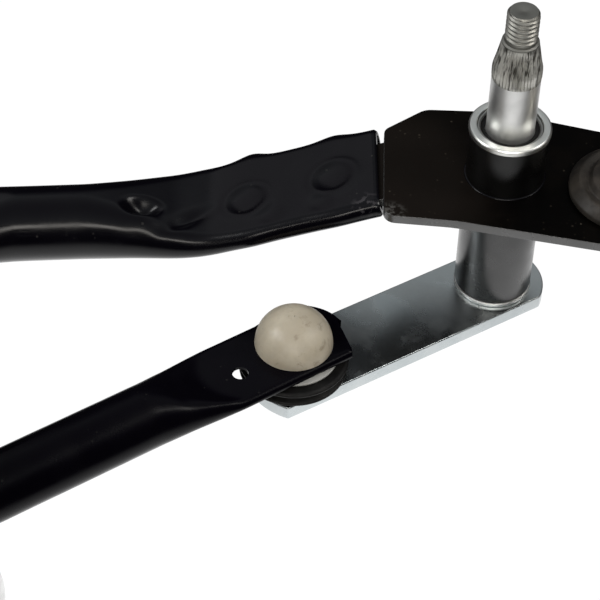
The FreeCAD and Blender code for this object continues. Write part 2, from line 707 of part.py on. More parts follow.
def gear_cover():
    """Moulded lid over the gear chamber, with the plug socket on its edge."""
    lid = cylinder(GEAR_HOUSING_RADIUS, GEAR_HOUSING_HEIGHT, GEAR_HOUSING_HEIGHT + 3.0)
    crown = cylinder(GEAR_HOUSING_RADIUS - 5.0, GEAR_HOUSING_HEIGHT, COVER_TOP)
    posts = [cylinder(4.6, GEAR_HOUSING_HEIGHT, GEAR_HOUSING_HEIGHT + 3.0, p)
             for p in circle_points(COVER_SCREW_CIRCLE, COVER_SCREW_ANGLES)]
    ribs = [placed(Part.makeBox(28.0, 1.6, 1.2, Vec(4.0, -0.8, COVER_TOP)), Vec(0, 0, 0), angle)
            for angle in range(30, 390, 60)]
    lid = lid.fuse([crown] + posts + ribs)
    lid = lid.cut(cylinder(GEAR_CHAMBER_RADIUS - 3.5, GEAR_HOUSING_HEIGHT - 1, COVER_TOP - 2.0))
    lid = lid.cut([throat(0.4), along_can(CAN_RADIUS + 2.0, CAN_START - 6.0, CAN_START)])
    for p in circle_points(COVER_SCREW_CIRCLE, COVER_SCREW_ANGLES):
        lid = lid.cut(cylinder(2.1, 0, COVER_TOP + 1, p))
    return lid.removeSplitter()


def connector():
    """Plug socket on the housing's side, opening along -X, with four blades."""
    start = -GEAR_HOUSING_RADIUS - CONNECTOR_DEPTH
    low = GEAR_HOUSING_HEIGHT - CONNECTOR_HEIGHT
    wall = 1.6
    shell = Part.makeBox(CONNECTOR_DEPTH + 4.0, CONNECTOR_WIDTH, CONNECTOR_HEIGHT,
                         Vec(start, -CONNECTOR_WIDTH / 2, low))
    shell = shell.cut(cylinder(GEAR_HOUSING_RADIUS + 0.02, 0, 2 * GEAR_HOUSING_HEIGHT))
    cavity = Part.makeBox(CONNECTOR_DEPTH - 5.0, CONNECTOR_WIDTH - 2 * wall, CONNECTOR_HEIGHT - 2 * wall,
                          Vec(start - 1.0, wall - CONNECTOR_WIDTH / 2, low + wall))
    blades = [Part.makeBox(9.0, 2.8, 0.8, Vec(start + 8.0, y - 1.4, low + CONNECTOR_HEIGHT / 2 - 0.4))
              for y in (-7.5, -2.5, 2.5, 7.5)]
    return shell.cut(cavity).fuse(blades).removeSplitter()


def hexagon(radius):
    return [(radius * math.cos(math.radians(angle)), radius * math.sin(math.radians(angle)))
            for angle in range(0, 360, 60)]


def hex_screw(across_flats, head_height, shank_radius, shank_length):
    """Hexagon-flange screw, head at the origin facing +Z, shank down."""
    radius = across_flats / math.sqrt(3)
    corners = hexagon(radius)
    head = prism(corners, 0.9, head_height)
    flange = cylinder(radius + 0.7, 0, 1.0)
    shank = cylinder(shank_radius, -shank_length, 0.5)
    return head.fuse([flange, shank]).removeSplitter()


def motor_can():
    """Deep-drawn steel can with a closed, stepped end and two flange ears."""
    end = CAN_START + CAN_LENGTH
    outer = along_can(CAN_RADIUS, CAN_START + 0.02, end)
    end_edges = [edge for edge in outer.Edges
                 if edge.BoundBox.XLength < 0.1 and abs(edge.BoundBox.XMin - end) < 0.1]
    outer = outer.makeFillet(6.0, end_edges)
    nub = along_can(8.5, end - 2.0, end + 6.0)
    ears = [
        Part.makeBox(2.0, 14.0, 11.0, Vec(CAN_START + 0.02, WORM_OFFSET + offset - 7.0, WORM_Z - 5.5))
        for offset in CAN_SCREW_OFFSETS
    ]
    can = outer.fuse([nub] + ears)
    can = can.cut(along_can(CAN_RADIUS - CAN_WALL, CAN_START - 1, end - CAN_WALL - 4.0))
    can = can.cut(along_can(6.5, end - 8.0, end + 4.5))
    for offset in CAN_SCREW_OFFSETS:
        hole = Part.makeCylinder(2.2, 6.0, Vec(CAN_START - 1.0, WORM_OFFSET + offset, WORM_Z), Vec(1, 0, 0))
        can = can.cut(hole)
    return can.removeSplitter()


def magnets():
    """Two ferrite arcs, at either side of the armature."""
    start = CAN_START + 22.0
    finish = CAN_START + 66.0
    shell = along_can(CAN_RADIUS - CAN_WALL - 0.05, start, finish)
    shell = shell.cut(along_can(18.5, start - 1, finish + 1))
    arcs = []
    for turn in (0, 180):
        gap = Part.makeBox(60, 60, 100, Vec(start - 5, WORM_OFFSET + 8.0, WORM_Z - 50))
        gap.rotate(Vec(0, WORM_OFFSET, WORM_Z), Vec(1, 0, 0), turn)
        arcs.append(shell.common(gap))
    return Part.makeCompound(arcs)


def armature():
    """Motor shaft with its worm, commutator and wound lamination stack."""
    end = CAN_START + CAN_LENGTH
    shaft = along_can(3.0, -28.0, end + 2.0)
    worm = along_can(WORM_RADIUS, -17.0, 17.0)
    commutator = along_can(8.0, CAN_START + 4.0, CAN_START + 16.0)
    stack = along_can(17.6, CAN_START + 26.0, CAN_START + 62.0)
    windings = along_can(14.0, CAN_START + 20.0, CAN_START + 68.0)
    return shaft.fuse([worm, commutator, stack, windings]).removeSplitter()


def brush_holder():
    plate = along_can(CAN_RADIUS - CAN_WALL - 0.3, CAN_START + 1.0, CAN_START + 4.0 - 0.5)
    guides = [Part.makeBox(8.0, 7.0, 7.0, Vec(CAN_START + 3.0, WORM_OFFSET + y - 3.5, WORM_Z - 3.5))
              for y in (-13.5, 13.5)]
    return plate.fuse(guides).cut(along_can(5.0, CAN_START, CAN_START + 20.0)).removeSplitter()


def worm_wheel():
    """Moulded gear on the output shaft."""
    pitch = 360.0 / WHEEL_TEETH
    root = WHEEL_RADIUS - 2.2
    corners = []
    for tooth in range(WHEEL_TEETH):
        centre = (tooth + 0.5) * pitch
        for radius, offset in ((root, -0.38), (WHEEL_RADIUS, -0.14), (WHEEL_RADIUS, 0.14), (root, 0.38)):
            point = heading(centre + offset * pitch) * radius
            corners.append(Vec(point.x, point.y, WORM_Z - 4.5))
    rim = Part.Face(Part.makePolygon(corners + corners[:1])).extrude(Vec(0, 0, 9.0))
    pocket = ring(11.0, 25.0, WORM_Z + 1.0, WORM_Z + 6.0)
    hub = cylinder(10.0, WORM_Z - 8.0, WORM_Z + 6.0)
    return rim.cut(pocket).fuse(hub).cut(cylinder(OUTPUT_SHAFT_RADIUS + 0.01, -10, 60)).removeSplitter()


def output_shaft():
    """Steel shaft from the wheel to the crank, threaded below it for the crank nut."""
    return turned([
        (0, ARM_BOTTOM - 11.0),
        (2.9, ARM_BOTTOM - 11.0),
        (STUD_SHANK_RADIUS, ARM_BOTTOM - 10.0),
        (STUD_SHANK_RADIUS, ARM_BOTTOM),
        (CRANK_BORE, ARM_BOTTOM),
        (CRANK_BORE, ARM_TOP),
        (OUTPUT_SHAFT_RADIUS, ARM_TOP + 0.5),
        (OUTPUT_SHAFT_RADIUS, WORM_Z + 7.0),
        (0, WORM_Z + 7.0),
    ])


def gear_motor():
    save("gear_housing", at_motor(gear_housing()))
    save("gear_cover", at_motor(gear_cover()))
    save("connector", placed(connector(), MOTOR_AXIS))
    save("motor_can", at_motor(motor_can()))
    save("magnets", at_motor(magnets()))
    save("brush_holder", at_motor(brush_holder()))
    save("armature", at_motor(armature()))
    save("worm_wheel", at_motor(worm_wheel()))
    save("output_shaft", placed(output_shaft(), MOTOR_AXIS))
    bush = ring(OUTPUT_SHAFT_RADIUS + RUNNING_CLEARANCE, 7.99, -18.5, 4.0)
    save("output_bush", placed(bush, MOTOR_AXIS))
    crank_turn = RIGHT_ARM_HEADING
    save("motor_crank", placed(crank_plate(ARM_CENTRES, True), MOTOR_AXIS, crank_turn))
    nut = prism(hexagon(7.5), ARM_BOTTOM - 6.8, ARM_BOTTOM - 0.02)
    nut = nut.cut(cylinder(STUD_SHANK_RADIUS + 0.01, -80, 0))
    save("crank_nut", placed(nut, MOTOR_AXIS, crank_turn))

    cover_screws = [placed(hex_screw(7.0, 4.6, 1.85, 7.8), at_height(p, GEAR_HOUSING_HEIGHT + 3.02))
                    for p in circle_points(COVER_SCREW_CIRCLE, COVER_SCREW_ANGLES)]
    save("cover_screws", at_motor(Part.makeCompound(cover_screws)))
    mount_screws = []
    for p in circle_points(MOTOR_SCREW_CIRCLE, MOTOR_SCREW_ANGLES):
        screw = hex_screw(10.0, 6.0, MOTOR_SCREW_RADIUS - 0.22, 10.5)
        screw.rotate(Vec(0, 0, 0), Vec(1, 0, 0), 180)
        mount_screws.append(placed(screw, at_height(p, -PLATE_THICKNESS - 0.02)))
    save("motor_screws", at_motor(Part.makeCompound(mount_screws)))
    can_screws = []
    for offset in CAN_SCREW_OFFSETS:
        screw = hex_screw(7.0, 4.6, 1.95, 9.0)
        screw.rotate(Vec(0, 0, 0), Vec(0, 1, 0), 90)
        screw.translate(Vec(CAN_START + 2.04, WORM_OFFSET + offset, WORM_Z))
        can_screws.append(screw)
    save("can_screws", at_motor(Part.makeCompound(can_screws)))


def main():
    os.makedirs("parts", exist_ok=True)
    frame_and_brackets()
    rubber_mounts()
    right_ball = pivot("right", RIGHT_PIVOT, RIGHT_ARM_HEADING)
    left_ball = pivot("left", LEFT_PIVOT, LEFT_ARM_HEADING)
    right_crank_ball = MOTOR_AXIS + heading(RIGHT_ARM_HEADING) * ARM_CENTRES
    left_crank_ball = MOTOR_AXIS + heading(LEFT_ARM_HEADING) * ARM_CENTRES
    save("crank_ball_stud_right", placed(ball_stud(), right_crank_ball))
    save("crank_ball_stud_left", placed(ball_stud(), left_crank_ball))
    link_bend = right_ball + heading(215.3) * 110.0
    drive_link("right", right_ball, right_crank_ball, [link_bend])
    drive_link("left", left_ball, left_crank_ball, [])
    gear_motor()


main()
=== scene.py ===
"""Looks of the windshield wiper assembly.

Turned, formed and pressed pieces replace the plain CAD nodes, every surface gets a procedural finish,
and a camera, a pale floor and soft light complete the scene. Shapes are worked out in millimetres in the
row frame (origin at the right-hand fixing bore, +Z along the pivot axes) and stored in metres.
"""

import json
import math

import bmesh
import bpy
import numpy as np
from mathutils import Matrix, Vector

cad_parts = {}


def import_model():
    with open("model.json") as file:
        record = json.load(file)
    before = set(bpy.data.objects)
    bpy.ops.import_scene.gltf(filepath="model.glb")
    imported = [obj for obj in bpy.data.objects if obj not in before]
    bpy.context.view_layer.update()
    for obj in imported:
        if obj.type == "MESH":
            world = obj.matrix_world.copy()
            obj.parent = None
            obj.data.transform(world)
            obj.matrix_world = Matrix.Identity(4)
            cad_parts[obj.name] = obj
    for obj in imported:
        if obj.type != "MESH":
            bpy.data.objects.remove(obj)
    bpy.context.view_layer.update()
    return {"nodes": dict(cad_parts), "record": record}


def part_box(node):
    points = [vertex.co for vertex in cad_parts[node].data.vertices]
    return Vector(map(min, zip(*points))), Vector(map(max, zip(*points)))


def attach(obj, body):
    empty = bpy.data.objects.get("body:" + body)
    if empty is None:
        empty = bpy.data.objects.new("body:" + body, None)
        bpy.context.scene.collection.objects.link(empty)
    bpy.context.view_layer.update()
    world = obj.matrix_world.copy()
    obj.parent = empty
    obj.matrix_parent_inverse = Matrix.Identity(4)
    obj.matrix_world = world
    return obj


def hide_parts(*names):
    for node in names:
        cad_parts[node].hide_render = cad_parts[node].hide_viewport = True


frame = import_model()

MM = 0.001
RECORD = frame["record"]
HOME = {node: body for body, nodes in RECORD["behaviour"]["bodies"].items() for node in nodes}
SLOT = {part["node"]: part["material_slot"] for part in RECORD["subparts"]}
SIDES = ("right", "left")


# ---------------------------------------------------------------- places, read from the frame


def extent(node):
    """Lowest and highest corner of a CAD node, in millimetres."""
    low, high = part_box(node)
    return np.array(low) / MM, np.array(high) / MM


def axis_point(node):
    """Plan centre of a node that is round about an upright axis."""
    low, high = extent(node)
    return (low[:2] + high[:2]) / 2


PIVOT = {side: axis_point("pivot_housing_" + side) for side in SIDES}
ARM_BALL = {side: axis_point("arm_ball_stud_" + side) for side in SIDES}
CRANK_BALL = {side: axis_point("crank_ball_stud_" + side) for side in SIDES}
MOTOR = axis_point("output_shaft")
ARM_BOTTOM, ARM_TOP = extent("crank_arm_right")[0][2], extent("crank_arm_right")[1][2]
DOME_RADIUS = 9.85
LINK_TOP = extent("outer_socket_right")[1][2] - DOME_RADIUS


# ---------------------------------------------------------------- mesh tools


WELD = 2e-6
SHARP_ANGLE = 32.0


def in_scene(name, data):
    """New object for a mesh, a light or a camera."""
    made = bpy.data.objects.new(name, data)
    bpy.context.scene.collection.objects.link(made)
    return made


def shade(mesh, sharp_angle, materials=()):
    """Smooth faces with sharp edges kept, and the materials in their order."""
    mesh.shade_smooth()
    mesh.set_sharp_from_angle(angle=math.radians(sharp_angle))
    for material in materials:
        mesh.materials.append(material)


def finish_mesh(name, mesh, materials, sharp_angle=SHARP_ANGLE):
    """Object whose mesh is welded, faces outwards and is smooth except across sharp edges."""
    work = bmesh.new()
    work.from_mesh(mesh)
    bmesh.ops.remove_doubles(work, verts=work.verts, dist=WELD)
    bmesh.ops.dissolve_degenerate(work, edges=work.edges, dist=WELD / 2)
    bmesh.ops.recalc_face_normals(work, faces=work.faces)
    work.to_mesh(mesh)
    work.free()
    mesh.materials.clear()
    shade(mesh, sharp_angle, materials)
    return in_scene(name, mesh)


def stands_for(piece, *nodes):
    """The piece rides on the body of the nodes it replaces, which are hidden."""
    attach(piece, HOME[nodes[0]])
    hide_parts(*nodes)
    return piece


def applied(piece, *settings):
    """Adds modifiers as (type, {setting: value}), applies them all, and keeps the result."""
    for kind, values in settings:
        modifier = piece.modifiers.new(kind.lower(), kind)
        for key, value in values.items():
            setattr(modifier, key, value)
    graph = bpy.context.evaluated_depsgraph_get()
    mesh = bpy.data.meshes.new_from_object(piece.evaluated_get(graph))
    piece.modifiers.clear()
    piece.data = mesh
    return piece


def skin_faces(rings, points, closed_along):
    """Quads over rings of points; open ends get a cap face each."""
    faces = []
    spans = rings if closed_along else rings - 1
    for ring in range(spans):
        base, after = ring * points, ((ring + 1) % rings) * points
        for step in range(points):
            ahead = (step + 1) % points
            faces.append((base + step, base + ahead, after + ahead, after + step))
    if not closed_along:
        faces.append(tuple(range(points - 1, -1, -1)))
        faces.append(tuple(range((rings - 1) * points, rings * points)))
    return faces


def skin(name, rings, materials, closed_along=False, sharp_angle=SHARP_ANGLE):
    """Piece skinned over rings of millimetre points; closed along, the last ring meets the first."""
    rings = np.asarray(rings, float)
    faces = skin_faces(rings.shape[0], rings.shape[1], closed_along)
    mesh = bpy.data.meshes.new(name)
    mesh.from_pydata([tuple(point) for point in rings.reshape(-1, 3) * MM], [], faces)
    return finish_mesh(name, mesh, materials, sharp_angle)


def rounded(corners, closed, steps=4):
    """Polyline whose corners (x, y, radius) are turned into arcs."""
    result = []
    count = len(corners)
    for index, corner in enumerate(corners):
        here = np.array(corner[:2], float)
        radius = corner[2] if len(corner) > 2 else 0.0
        if radius == 0 or (not closed and index in (0, count - 1)):
            result.append(here)
            continue
        back = np.array(corners[index - 1][:2], float) - here
        ahead = np.array(corners[(index + 1) % count][:2], float) - here
        back_length, ahead_length = np.linalg.norm(back), np.linalg.norm(ahead)
        back, ahead = back / back_length, ahead / ahead_length
        half = math.acos(np.clip(back @ ahead, -1, 1)) / 2
        setback = min(radius / math.tan(half), 0.49 * back_length, 0.49 * ahead_length)
        true_radius = setback * math.tan(half)
        bisector = (back + ahead) / np.linalg.norm(back + ahead)
        centre = here + bisector * true_radius / math.sin(half)
        start, end = here + back * setback - centre, here + ahead * setback - centre
        sweep = math.atan2(start[0] * end[1] - start[1] * end[0], start @ end)
        for step in range(steps + 1):
            turn = sweep * step / steps
            cos, sin = math.cos(turn), math.sin(turn)
            spoke = np.array([start[0] * cos - start[1] * sin, start[0] * sin + start[1] * cos])
            result.append(centre + spoke)
    return np.array(result)


def around(segments):
    """Equal angles of one turn."""
    return np.arange(segments) * 2 * math.pi / segments


def ring_at(centre, radius, z, angles):
    """Points round an upright axis; the radius may vary with the angle."""
    return np.stack([centre[0] + radius * np.cos(angles), centre[1] + radius * np.sin(angles),
                     np.full(len(angles), z)], 1)


def turned(name, profile, centre, materials, segments=96, closed=True, sharp_angle=SHARP_ANGLE):
    """Round piece about an upright axis from (radius, z, corner radius) corners."""
    angles = around(segments)
    rings = [ring_at(centre, radius, z, angles) for radius, z in rounded(profile, closed)]
    return skin(name, rings, materials, closed_along=closed, sharp_angle=sharp_angle)


def turned_for(node, finish, *profile_and_place, **options):
    """Turned piece that stands for a CAD node and is named after it."""
    return stands_for(turned(node + "_" + finish, *profile_and_place, **options), node)


def softened(node, materials, width, segments=3):
    """Copy of a CAD node with its edges broken, as stamping, casting or moulding leaves them."""
    mesh = frame["nodes"][node].data.copy()
    work = bmesh.new()
    work.from_mesh(mesh)
    bmesh.ops.remove_doubles(work, verts=work.verts, dist=WELD)
    bmesh.ops.dissolve_limit(work, angle_limit=math.radians(0.6), verts=work.verts, edges=work.edges,
                             delimit={"NORMAL"})
    work.to_mesh(mesh)
    work.free()
    mesh.materials.clear()
    piece = in_scene(node + "_finished", mesh)
    applied(piece, ("BEVEL", {"width": width * MM, "segments": segments, "limit_method": "ANGLE",
                              "angle_limit": math.radians(30), "use_clamp_overlap": True,
                              "harden_normals": False}))
    shade(piece.data, 40.0, materials)
    applied(piece, ("WEIGHTED_NORMAL", {"keep_sharp": True, "weight": 80}))
    return stands_for(piece, node)


def smoothed(node, materials):
    """Copy of a round CAD node, smooth except at its real edges."""
    mesh = frame["nodes"][node].data.copy()
    return stands_for(finish_mesh(node + "_finished", mesh, materials, 35.0), node)


# ---------------------------------------------------------------- materials


class Recipe:
    """A Principled material whose colour, roughness and bump are built from procedural nodes."""

    def __init__(self, name, metallic=0.0, **fixed):
        self.material = bpy.data.materials.new(name)
        self.material.use_nodes = True
        self.tree = self.material.node_tree
        self.shader = self.tree.nodes["Principled BSDF"]
        self.shader.inputs["Metallic"].default_value = metallic
        for socket, value in fixed.items():
            self.shader.inputs[socket.replace("_", " ")].default_value = value
        self.place = self.node("ShaderNodeTexCoord").outputs["Object"]
        self.bump_chain = None

    def node(self, kind, **settings):
        made = self.tree.nodes.new(kind)
        for key, value in settings.items():
            setattr(made, key, value)
        return made

    def link(self, source, target):
        self.tree.links.new(source, target)

    def stretched(self, scale, rotation=(0, 0, 0)):
        mapping = self.node("ShaderNodeMapping")
        mapping.inputs["Scale"].default_value = scale
        mapping.inputs["Rotation"].default_value = rotation
        self.link(self.place, mapping.inputs["Vector"])
        return mapping.outputs["Vector"]

    def noise(self, scale, detail=3.0, roughness=0.55, distortion=0.0, vector=None):
        made = self.node("ShaderNodeTexNoise")
        made.inputs["Scale"].default_value = scale
        made.inputs["Detail"].default_value = detail
        made.inputs["Roughness"].default_value = roughness
        made.inputs["Distortion"].default_value = distortion
        self.link(vector or self.place, made.inputs["Vector"])
        return made.outputs["Fac"]

    def span(self, value, low, high, to_low=0.0, to_high=1.0):
        """Smoothly maps low..high of a value to another range."""
        made = self.node("ShaderNodeMapRange", interpolation_type="SMOOTHSTEP")
        sockets = {"From Min": low, "From Max": high, "To Min": to_low, "To Max": to_high}
        for socket, number in sockets.items():
            made.inputs[socket].default_value = number
        self.link(value, made.inputs["Value"])
        return made.outputs["Result"]

    def near_point(self, point, full, none):
        """1 within the full radius of a point and 0 beyond the other, in millimetres."""
        made = self.node("ShaderNodeVectorMath", operation="DISTANCE")
        self.link(self.place, made.inputs[0])
        made.inputs[1].default_value = tuple(float(value) * MM for value in point)
        return self.span(made.outputs["Value"], full * MM, none * MM, 1.0, 0.0)

    def times(self, first, second):
        made = self.node("ShaderNodeMath", operation="MULTIPLY")
        self.link(first, made.inputs[0])
        if isinstance(second, (int, float)):
            made.inputs[1].default_value = second
        else:
            self.link(second, made.inputs[1])
        return made.outputs[0]

    def mix(self, factor, first, second):
        """Colour between two colours or sockets."""
        made = self.node("ShaderNodeMix", data_type="RGBA")
        self.link(factor, made.inputs["Factor"])
        for socket, colour in (("A", first), ("B", second)):
            target = [s for s in made.inputs if s.name == socket and s.type == "RGBA"][0]
            if isinstance(colour, tuple):
                target.default_value = colour + (1.0,)
            else:
                self.link(colour, target)
        return [s for s in made.outputs if s.type == "RGBA"][0]

    def colour(self, socket):
        self.link(socket, self.shader.inputs["Base Color"])

    def roughness(self, value, low, high, smooth, rough):
        """Roughness runs from smooth to rough as the value goes from low to high."""
        self.link(self.span(value, low, high, smooth, rough), self.shader.inputs["Roughness"])

    def bump(self, height, distance, strength=1.0):
        """Adds a height field, its distance in millimetres, on top of any before it."""
        made = self.node("ShaderNodeBump")
        made.inputs["Distance"].default_value = distance * MM
        made.inputs["Strength"].default_value = strength
        self.link(height, made.inputs["Height"])
        if self.bump_chain is not None:
            self.link(self.bump_chain, made.inputs["Normal"])
        self.bump_chain = made.outputs["Normal"]
        self.link(self.bump_chain, self.shader.inputs["Normal"])
        return self


def rubbed_highlit_corner(recipe, place, full, none, grain, base, pale_tint):
    """Base colour made pale in a fine grain about one corner: paint rubbed thin, and a painted highlight
    where the corner catches the light.
    """
    thin = recipe.span(recipe.noise(grain[0], 3.0), *grain[1:])
    return recipe.mix(recipe.times(recipe.near_point(place, full, none), thin), base, pale_tint)


def speckled(recipe, base, speck, scale, amount):
    """Base colour with small separate specks of dust or dirt."""
    cells = recipe.node("ShaderNodeTexVoronoi", feature="F1")
    cells.inputs["Scale"].default_value = scale
    recipe.link(recipe.place, cells.inputs["Vector"])
    near = recipe.span(cells.outputs["Distance"], 0.10, 0.22, 1.0, 0.0)
    patch = recipe.span(recipe.noise(scale * 0.31, 2.0), 0.60 - amount, 0.72 - amount)
    return recipe.mix(recipe.times(near, patch), base, speck)


# Place near the right plate's left end about which its black turns lighter and warmer.
LIGHTER_PLACE = np.append(PIVOT["right"] + [-30.0, -4.0], 0.0)
# Corners whose pale patches are rubbed paint and painted highlights.
PLATE_CORNER = np.append(PIVOT["right"] + [-28.3, -15.5], 0.0)
TUBE_CORNER = np.append(PIVOT["right"] + [-34.5, -12.6], -0.5)


def black_gloss(name, base, rough, specular):
    """Electrophoretic black on the tubes: glossy, faintly uneven, lightly dusty, with a pale patch at the
    right tube's crimped corner that is worn paint and a painted highlight.
    """
    recipe = Recipe(name, Specular_IOR_Level=specular)
    # Pale patch at the crimped corner: worn paint and a painted highlight.
    rubbed_and_highlit = rubbed_highlit_corner(recipe, TUBE_CORNER, 1.0, 5.0, (650.0, 0.50, 0.62), base, (0.040, 0.037, 0.041))
    recipe.colour(speckled(recipe, rubbed_and_highlit, (0.022, 0.021, 0.020), 520.0, 0.02))
    recipe.roughness(recipe.noise(90.0, 4.0), 0.35, 0.68, *rough)
    recipe.bump(recipe.noise(260.0, 2.0), 0.045, 0.5)
    recipe.bump(recipe.noise(38.0, 1.0), 0.25, 0.22)
    return recipe.material


def black_satin(name):
    """The same black on stamped plates, duller, with more dust specks, lighter and warmer about the right
    plate's left end, and a pale lower-left corner that is rubbed paint with a painted highlight.
    """
    recipe = Recipe(name, Specular_IOR_Level=0.035)
    smudge = recipe.span(recipe.noise(60.0, 4.0), 0.42, 0.72)
    warm = recipe.mix(smudge, (0.0008, 0.0006, 0.0005), (0.0034, 0.0026, 0.0020))
    # Lighter and warmer about one place near the right plate's left end.
    lightened = recipe.mix(recipe.near_point(LIGHTER_PLACE, 16.0, 34.0), warm, (0.0085, 0.0066, 0.0054))
    # Pale patch at the plate's lower-left corner: rubbed paint and a painted highlight.
    rubbed_and_highlit = rubbed_highlit_corner(recipe, PLATE_CORNER, 1.2, 4.5, (700.0, 0.44, 0.60), lightened, (0.065, 0.062, 0.058))
    recipe.colour(speckled(recipe, rubbed_and_highlit, (0.040, 0.034, 0.026), 620.0, 0.05))
    recipe.roughness(recipe.noise(120.0, 5.0), 0.30, 0.70, 0.36, 0.52)
    recipe.bump(recipe.noise(900.0, 3.0), 0.02, 0.5)
    recipe.bump(recipe.noise(45.0, 1.0), 0.20, 0.25)
    return recipe.material


def housing_black():
    """Bearing tube: thin black over turned steel, so fine rings about its axis still show."""
    recipe = Recipe("bearing_tube_black", Specular_IOR_Level=0.75)
    haze = recipe.span(recipe.noise(70.0, 3.0), 0.35, 0.75)
    recipe.colour(recipe.mix(haze, (0.0010, 0.0010, 0.0010), (0.0030, 0.0028, 0.0027)))
    recipe.roughness(recipe.noise(150.0, 4.0), 0.3, 0.7, 0.25, 0.34)
    recipe.bump(recipe.noise(1.0, 2.0, vector=recipe.stretched((60.0, 60.0, 1600.0))), 0.006, 0.5)
    return recipe.material


def streaked_steel(name, dark, light, grain, depth):
    """Steel scored by tools: dark and light streaks that follow the grain scale."""
    recipe = Recipe(name, metallic=1.0)
    streaks = recipe.noise(1.0, 3.0, 0.6, 0.3, vector=recipe.stretched(grain))
    recipe.colour(recipe.mix(recipe.span(streaks, 0.37, 0.53), dark, light))
    recipe.roughness(recipe.noise(300.0, 3.0), 0.3, 0.7, 0.44, 0.56)
    recipe.bump(streaks, depth, 0.8)
    return recipe.material


def machined(name, tint, rough, grain=(24.0, 24.0, 2600.0), depth=0.006):
    """Turned metal: fine rings about the axis where the grain is stretched, light stains."""
    recipe = Recipe(name, metallic=1.0)
    rings = recipe.noise(1.0, 3.0, vector=recipe.stretched(grain))
    stain = recipe.span(recipe.noise(120.0, 3.0, distortion=0.4), 0.46, 0.80)
    worn = tuple(channel * 0.84 for channel in tint)
    recipe.colour(recipe.mix(stain, tint, worn))
    recipe.roughness(rings, 0.25, 0.75, *rough)
    recipe.bump(rings, depth, 0.55)
    return recipe.material


def zinc_plate():
    """Zinc-plated stamping: bluish grey and cloudy, with fine grain and a little white bloom."""
    recipe = Recipe("bright_zinc", metallic=1.0)
    cloud = recipe.span(recipe.noise(75.0, 5.0, 0.6), 0.36, 0.66)
    base = recipe.mix(cloud, (0.44, 0.475, 0.485), (0.60, 0.635, 0.64))
    bloom = recipe.span(recipe.noise(420.0, 4.0, 0.7), 0.63, 0.78)
    recipe.colour(recipe.mix(recipe.times(bloom, 0.7), base, (0.70, 0.74, 0.73)))
    grain = recipe.noise(1.0, 4.0, vector=recipe.stretched((1500.0, 1500.0, 1500.0)))
    recipe.roughness(cloud, 0.0, 1.0, 0.24, 0.36)
    recipe.bump(grain, 0.004, 0.5)
    recipe.bump(recipe.noise(160.0, 2.0), 0.06, 0.18)
    return recipe.material


def dark_zinc():
    """Passivated fasteners, a little darker and yellower."""
    recipe = Recipe("passivated_zinc", metallic=1.0)
    cloud = recipe.span(recipe.noise(240.0, 4.0), 0.35, 0.7)
    recipe.colour(recipe.mix(cloud, (0.42, 0.40, 0.34), (0.60, 0.58, 0.52)))
    recipe.roughness(recipe.noise(400.0, 3.0), 0.3, 0.7, 0.26, 0.42)
    recipe.bump(recipe.noise(1200.0, 2.0), 0.015, 0.5)
    return recipe.material


def ivory_nylon():
    """Acetal socket: ivory, slightly translucent, with grease smudges and scuffs."""
    recipe = Recipe("ivory_nylon", Subsurface_Weight=0.18, Subsurface_Scale=0.002)
    recipe.shader.inputs["Subsurface Radius"].default_value = (1.0, 0.8, 0.55)
    cloud = recipe.span(recipe.noise(110.0, 4.0, 0.6), 0.38, 0.68)
    base = recipe.mix(cloud, (0.43, 0.378, 0.292), (0.52, 0.467, 0.366))
    dirt = recipe.span(recipe.noise(290.0, 5.0, 0.7, 0.6), 0.55, 0.72)
    dirty = recipe.mix(recipe.times(dirt, 0.75), base, (0.25, 0.20, 0.145))
    yellow = recipe.span(recipe.noise(75.0, 1.0), 0.60, 0.75)
    recipe.colour(recipe.mix(recipe.times(yellow, 0.6), dirty, (0.56, 0.50, 0.28)))
    recipe.roughness(recipe.noise(210.0, 4.0), 0.3, 0.7, 0.34, 0.52)
    recipe.bump(recipe.noise(480.0, 4.0), 0.03, 0.5)
    return recipe.material


def rubber(name, low, high):
    """Moulded rubber, cloudy between two greys, with a fine matt grain."""
    recipe = Recipe(name, Specular_IOR_Level=0.2)
    recipe.colour(recipe.mix(recipe.span(recipe.noise(180.0, 4.0), 0.38, 0.7), low, high))
    recipe.roughness(recipe.noise(240.0, 3.0), 0.3, 0.7, 0.42, 0.62)
    recipe.bump(recipe.noise(800.0, 3.0), 0.02, 0.6)
    return recipe.material


def cast_aluminium():
    """Gear housing: die-cast skin, matt and slightly pitted."""
    recipe = Recipe("cast_aluminium", metallic=1.0)
    cloud = recipe.span(recipe.noise(60.0, 4.0), 0.35, 0.7)
    recipe.colour(recipe.mix(cloud, (0.46, 0.46, 0.455), (0.60, 0.60, 0.59)))
    recipe.roughness(recipe.noise(500.0, 4.0), 0.3, 0.7, 0.42, 0.58)
    recipe.bump(recipe.noise(950.0, 4.0), 0.06, 0.7)
    recipe.bump(recipe.noise(90.0, 2.0), 0.25, 0.25)
    return recipe.material


def drawn_steel():
    """The can: plated drawn steel, cloudy and fairly bright."""
    recipe = Recipe("drawn_can_steel", metallic=1.0)
    cloud = recipe.span(recipe.noise(50.0, 4.0), 0.35, 0.7)
    recipe.colour(recipe.mix(cloud, (0.58, 0.585, 0.58), (0.70, 0.70, 0.685)))
    recipe.roughness(recipe.noise(120.0, 4.0), 0.3, 0.7, 0.26, 0.40)
    recipe.bump(recipe.noise(700.0, 3.0), 0.012, 0.5)
    return recipe.material


def moulded(name, low, high, grain=1300.0):
    """Moulded plastic or pressed ferrite, with a fine even grain."""
    recipe = Recipe(name)
    recipe.colour(recipe.mix(recipe.span(recipe.noise(90.0, 3.0), 0.35, 0.7), low, high))
    recipe.roughness(recipe.noise(300.0, 3.0), 0.3, 0.7, 0.40, 0.55)
    recipe.bump(recipe.noise(grain, 2.0), 0.03, 0.6)
    return recipe.material


FINE_RINGS = (60.0, 60.0, 3000.0)

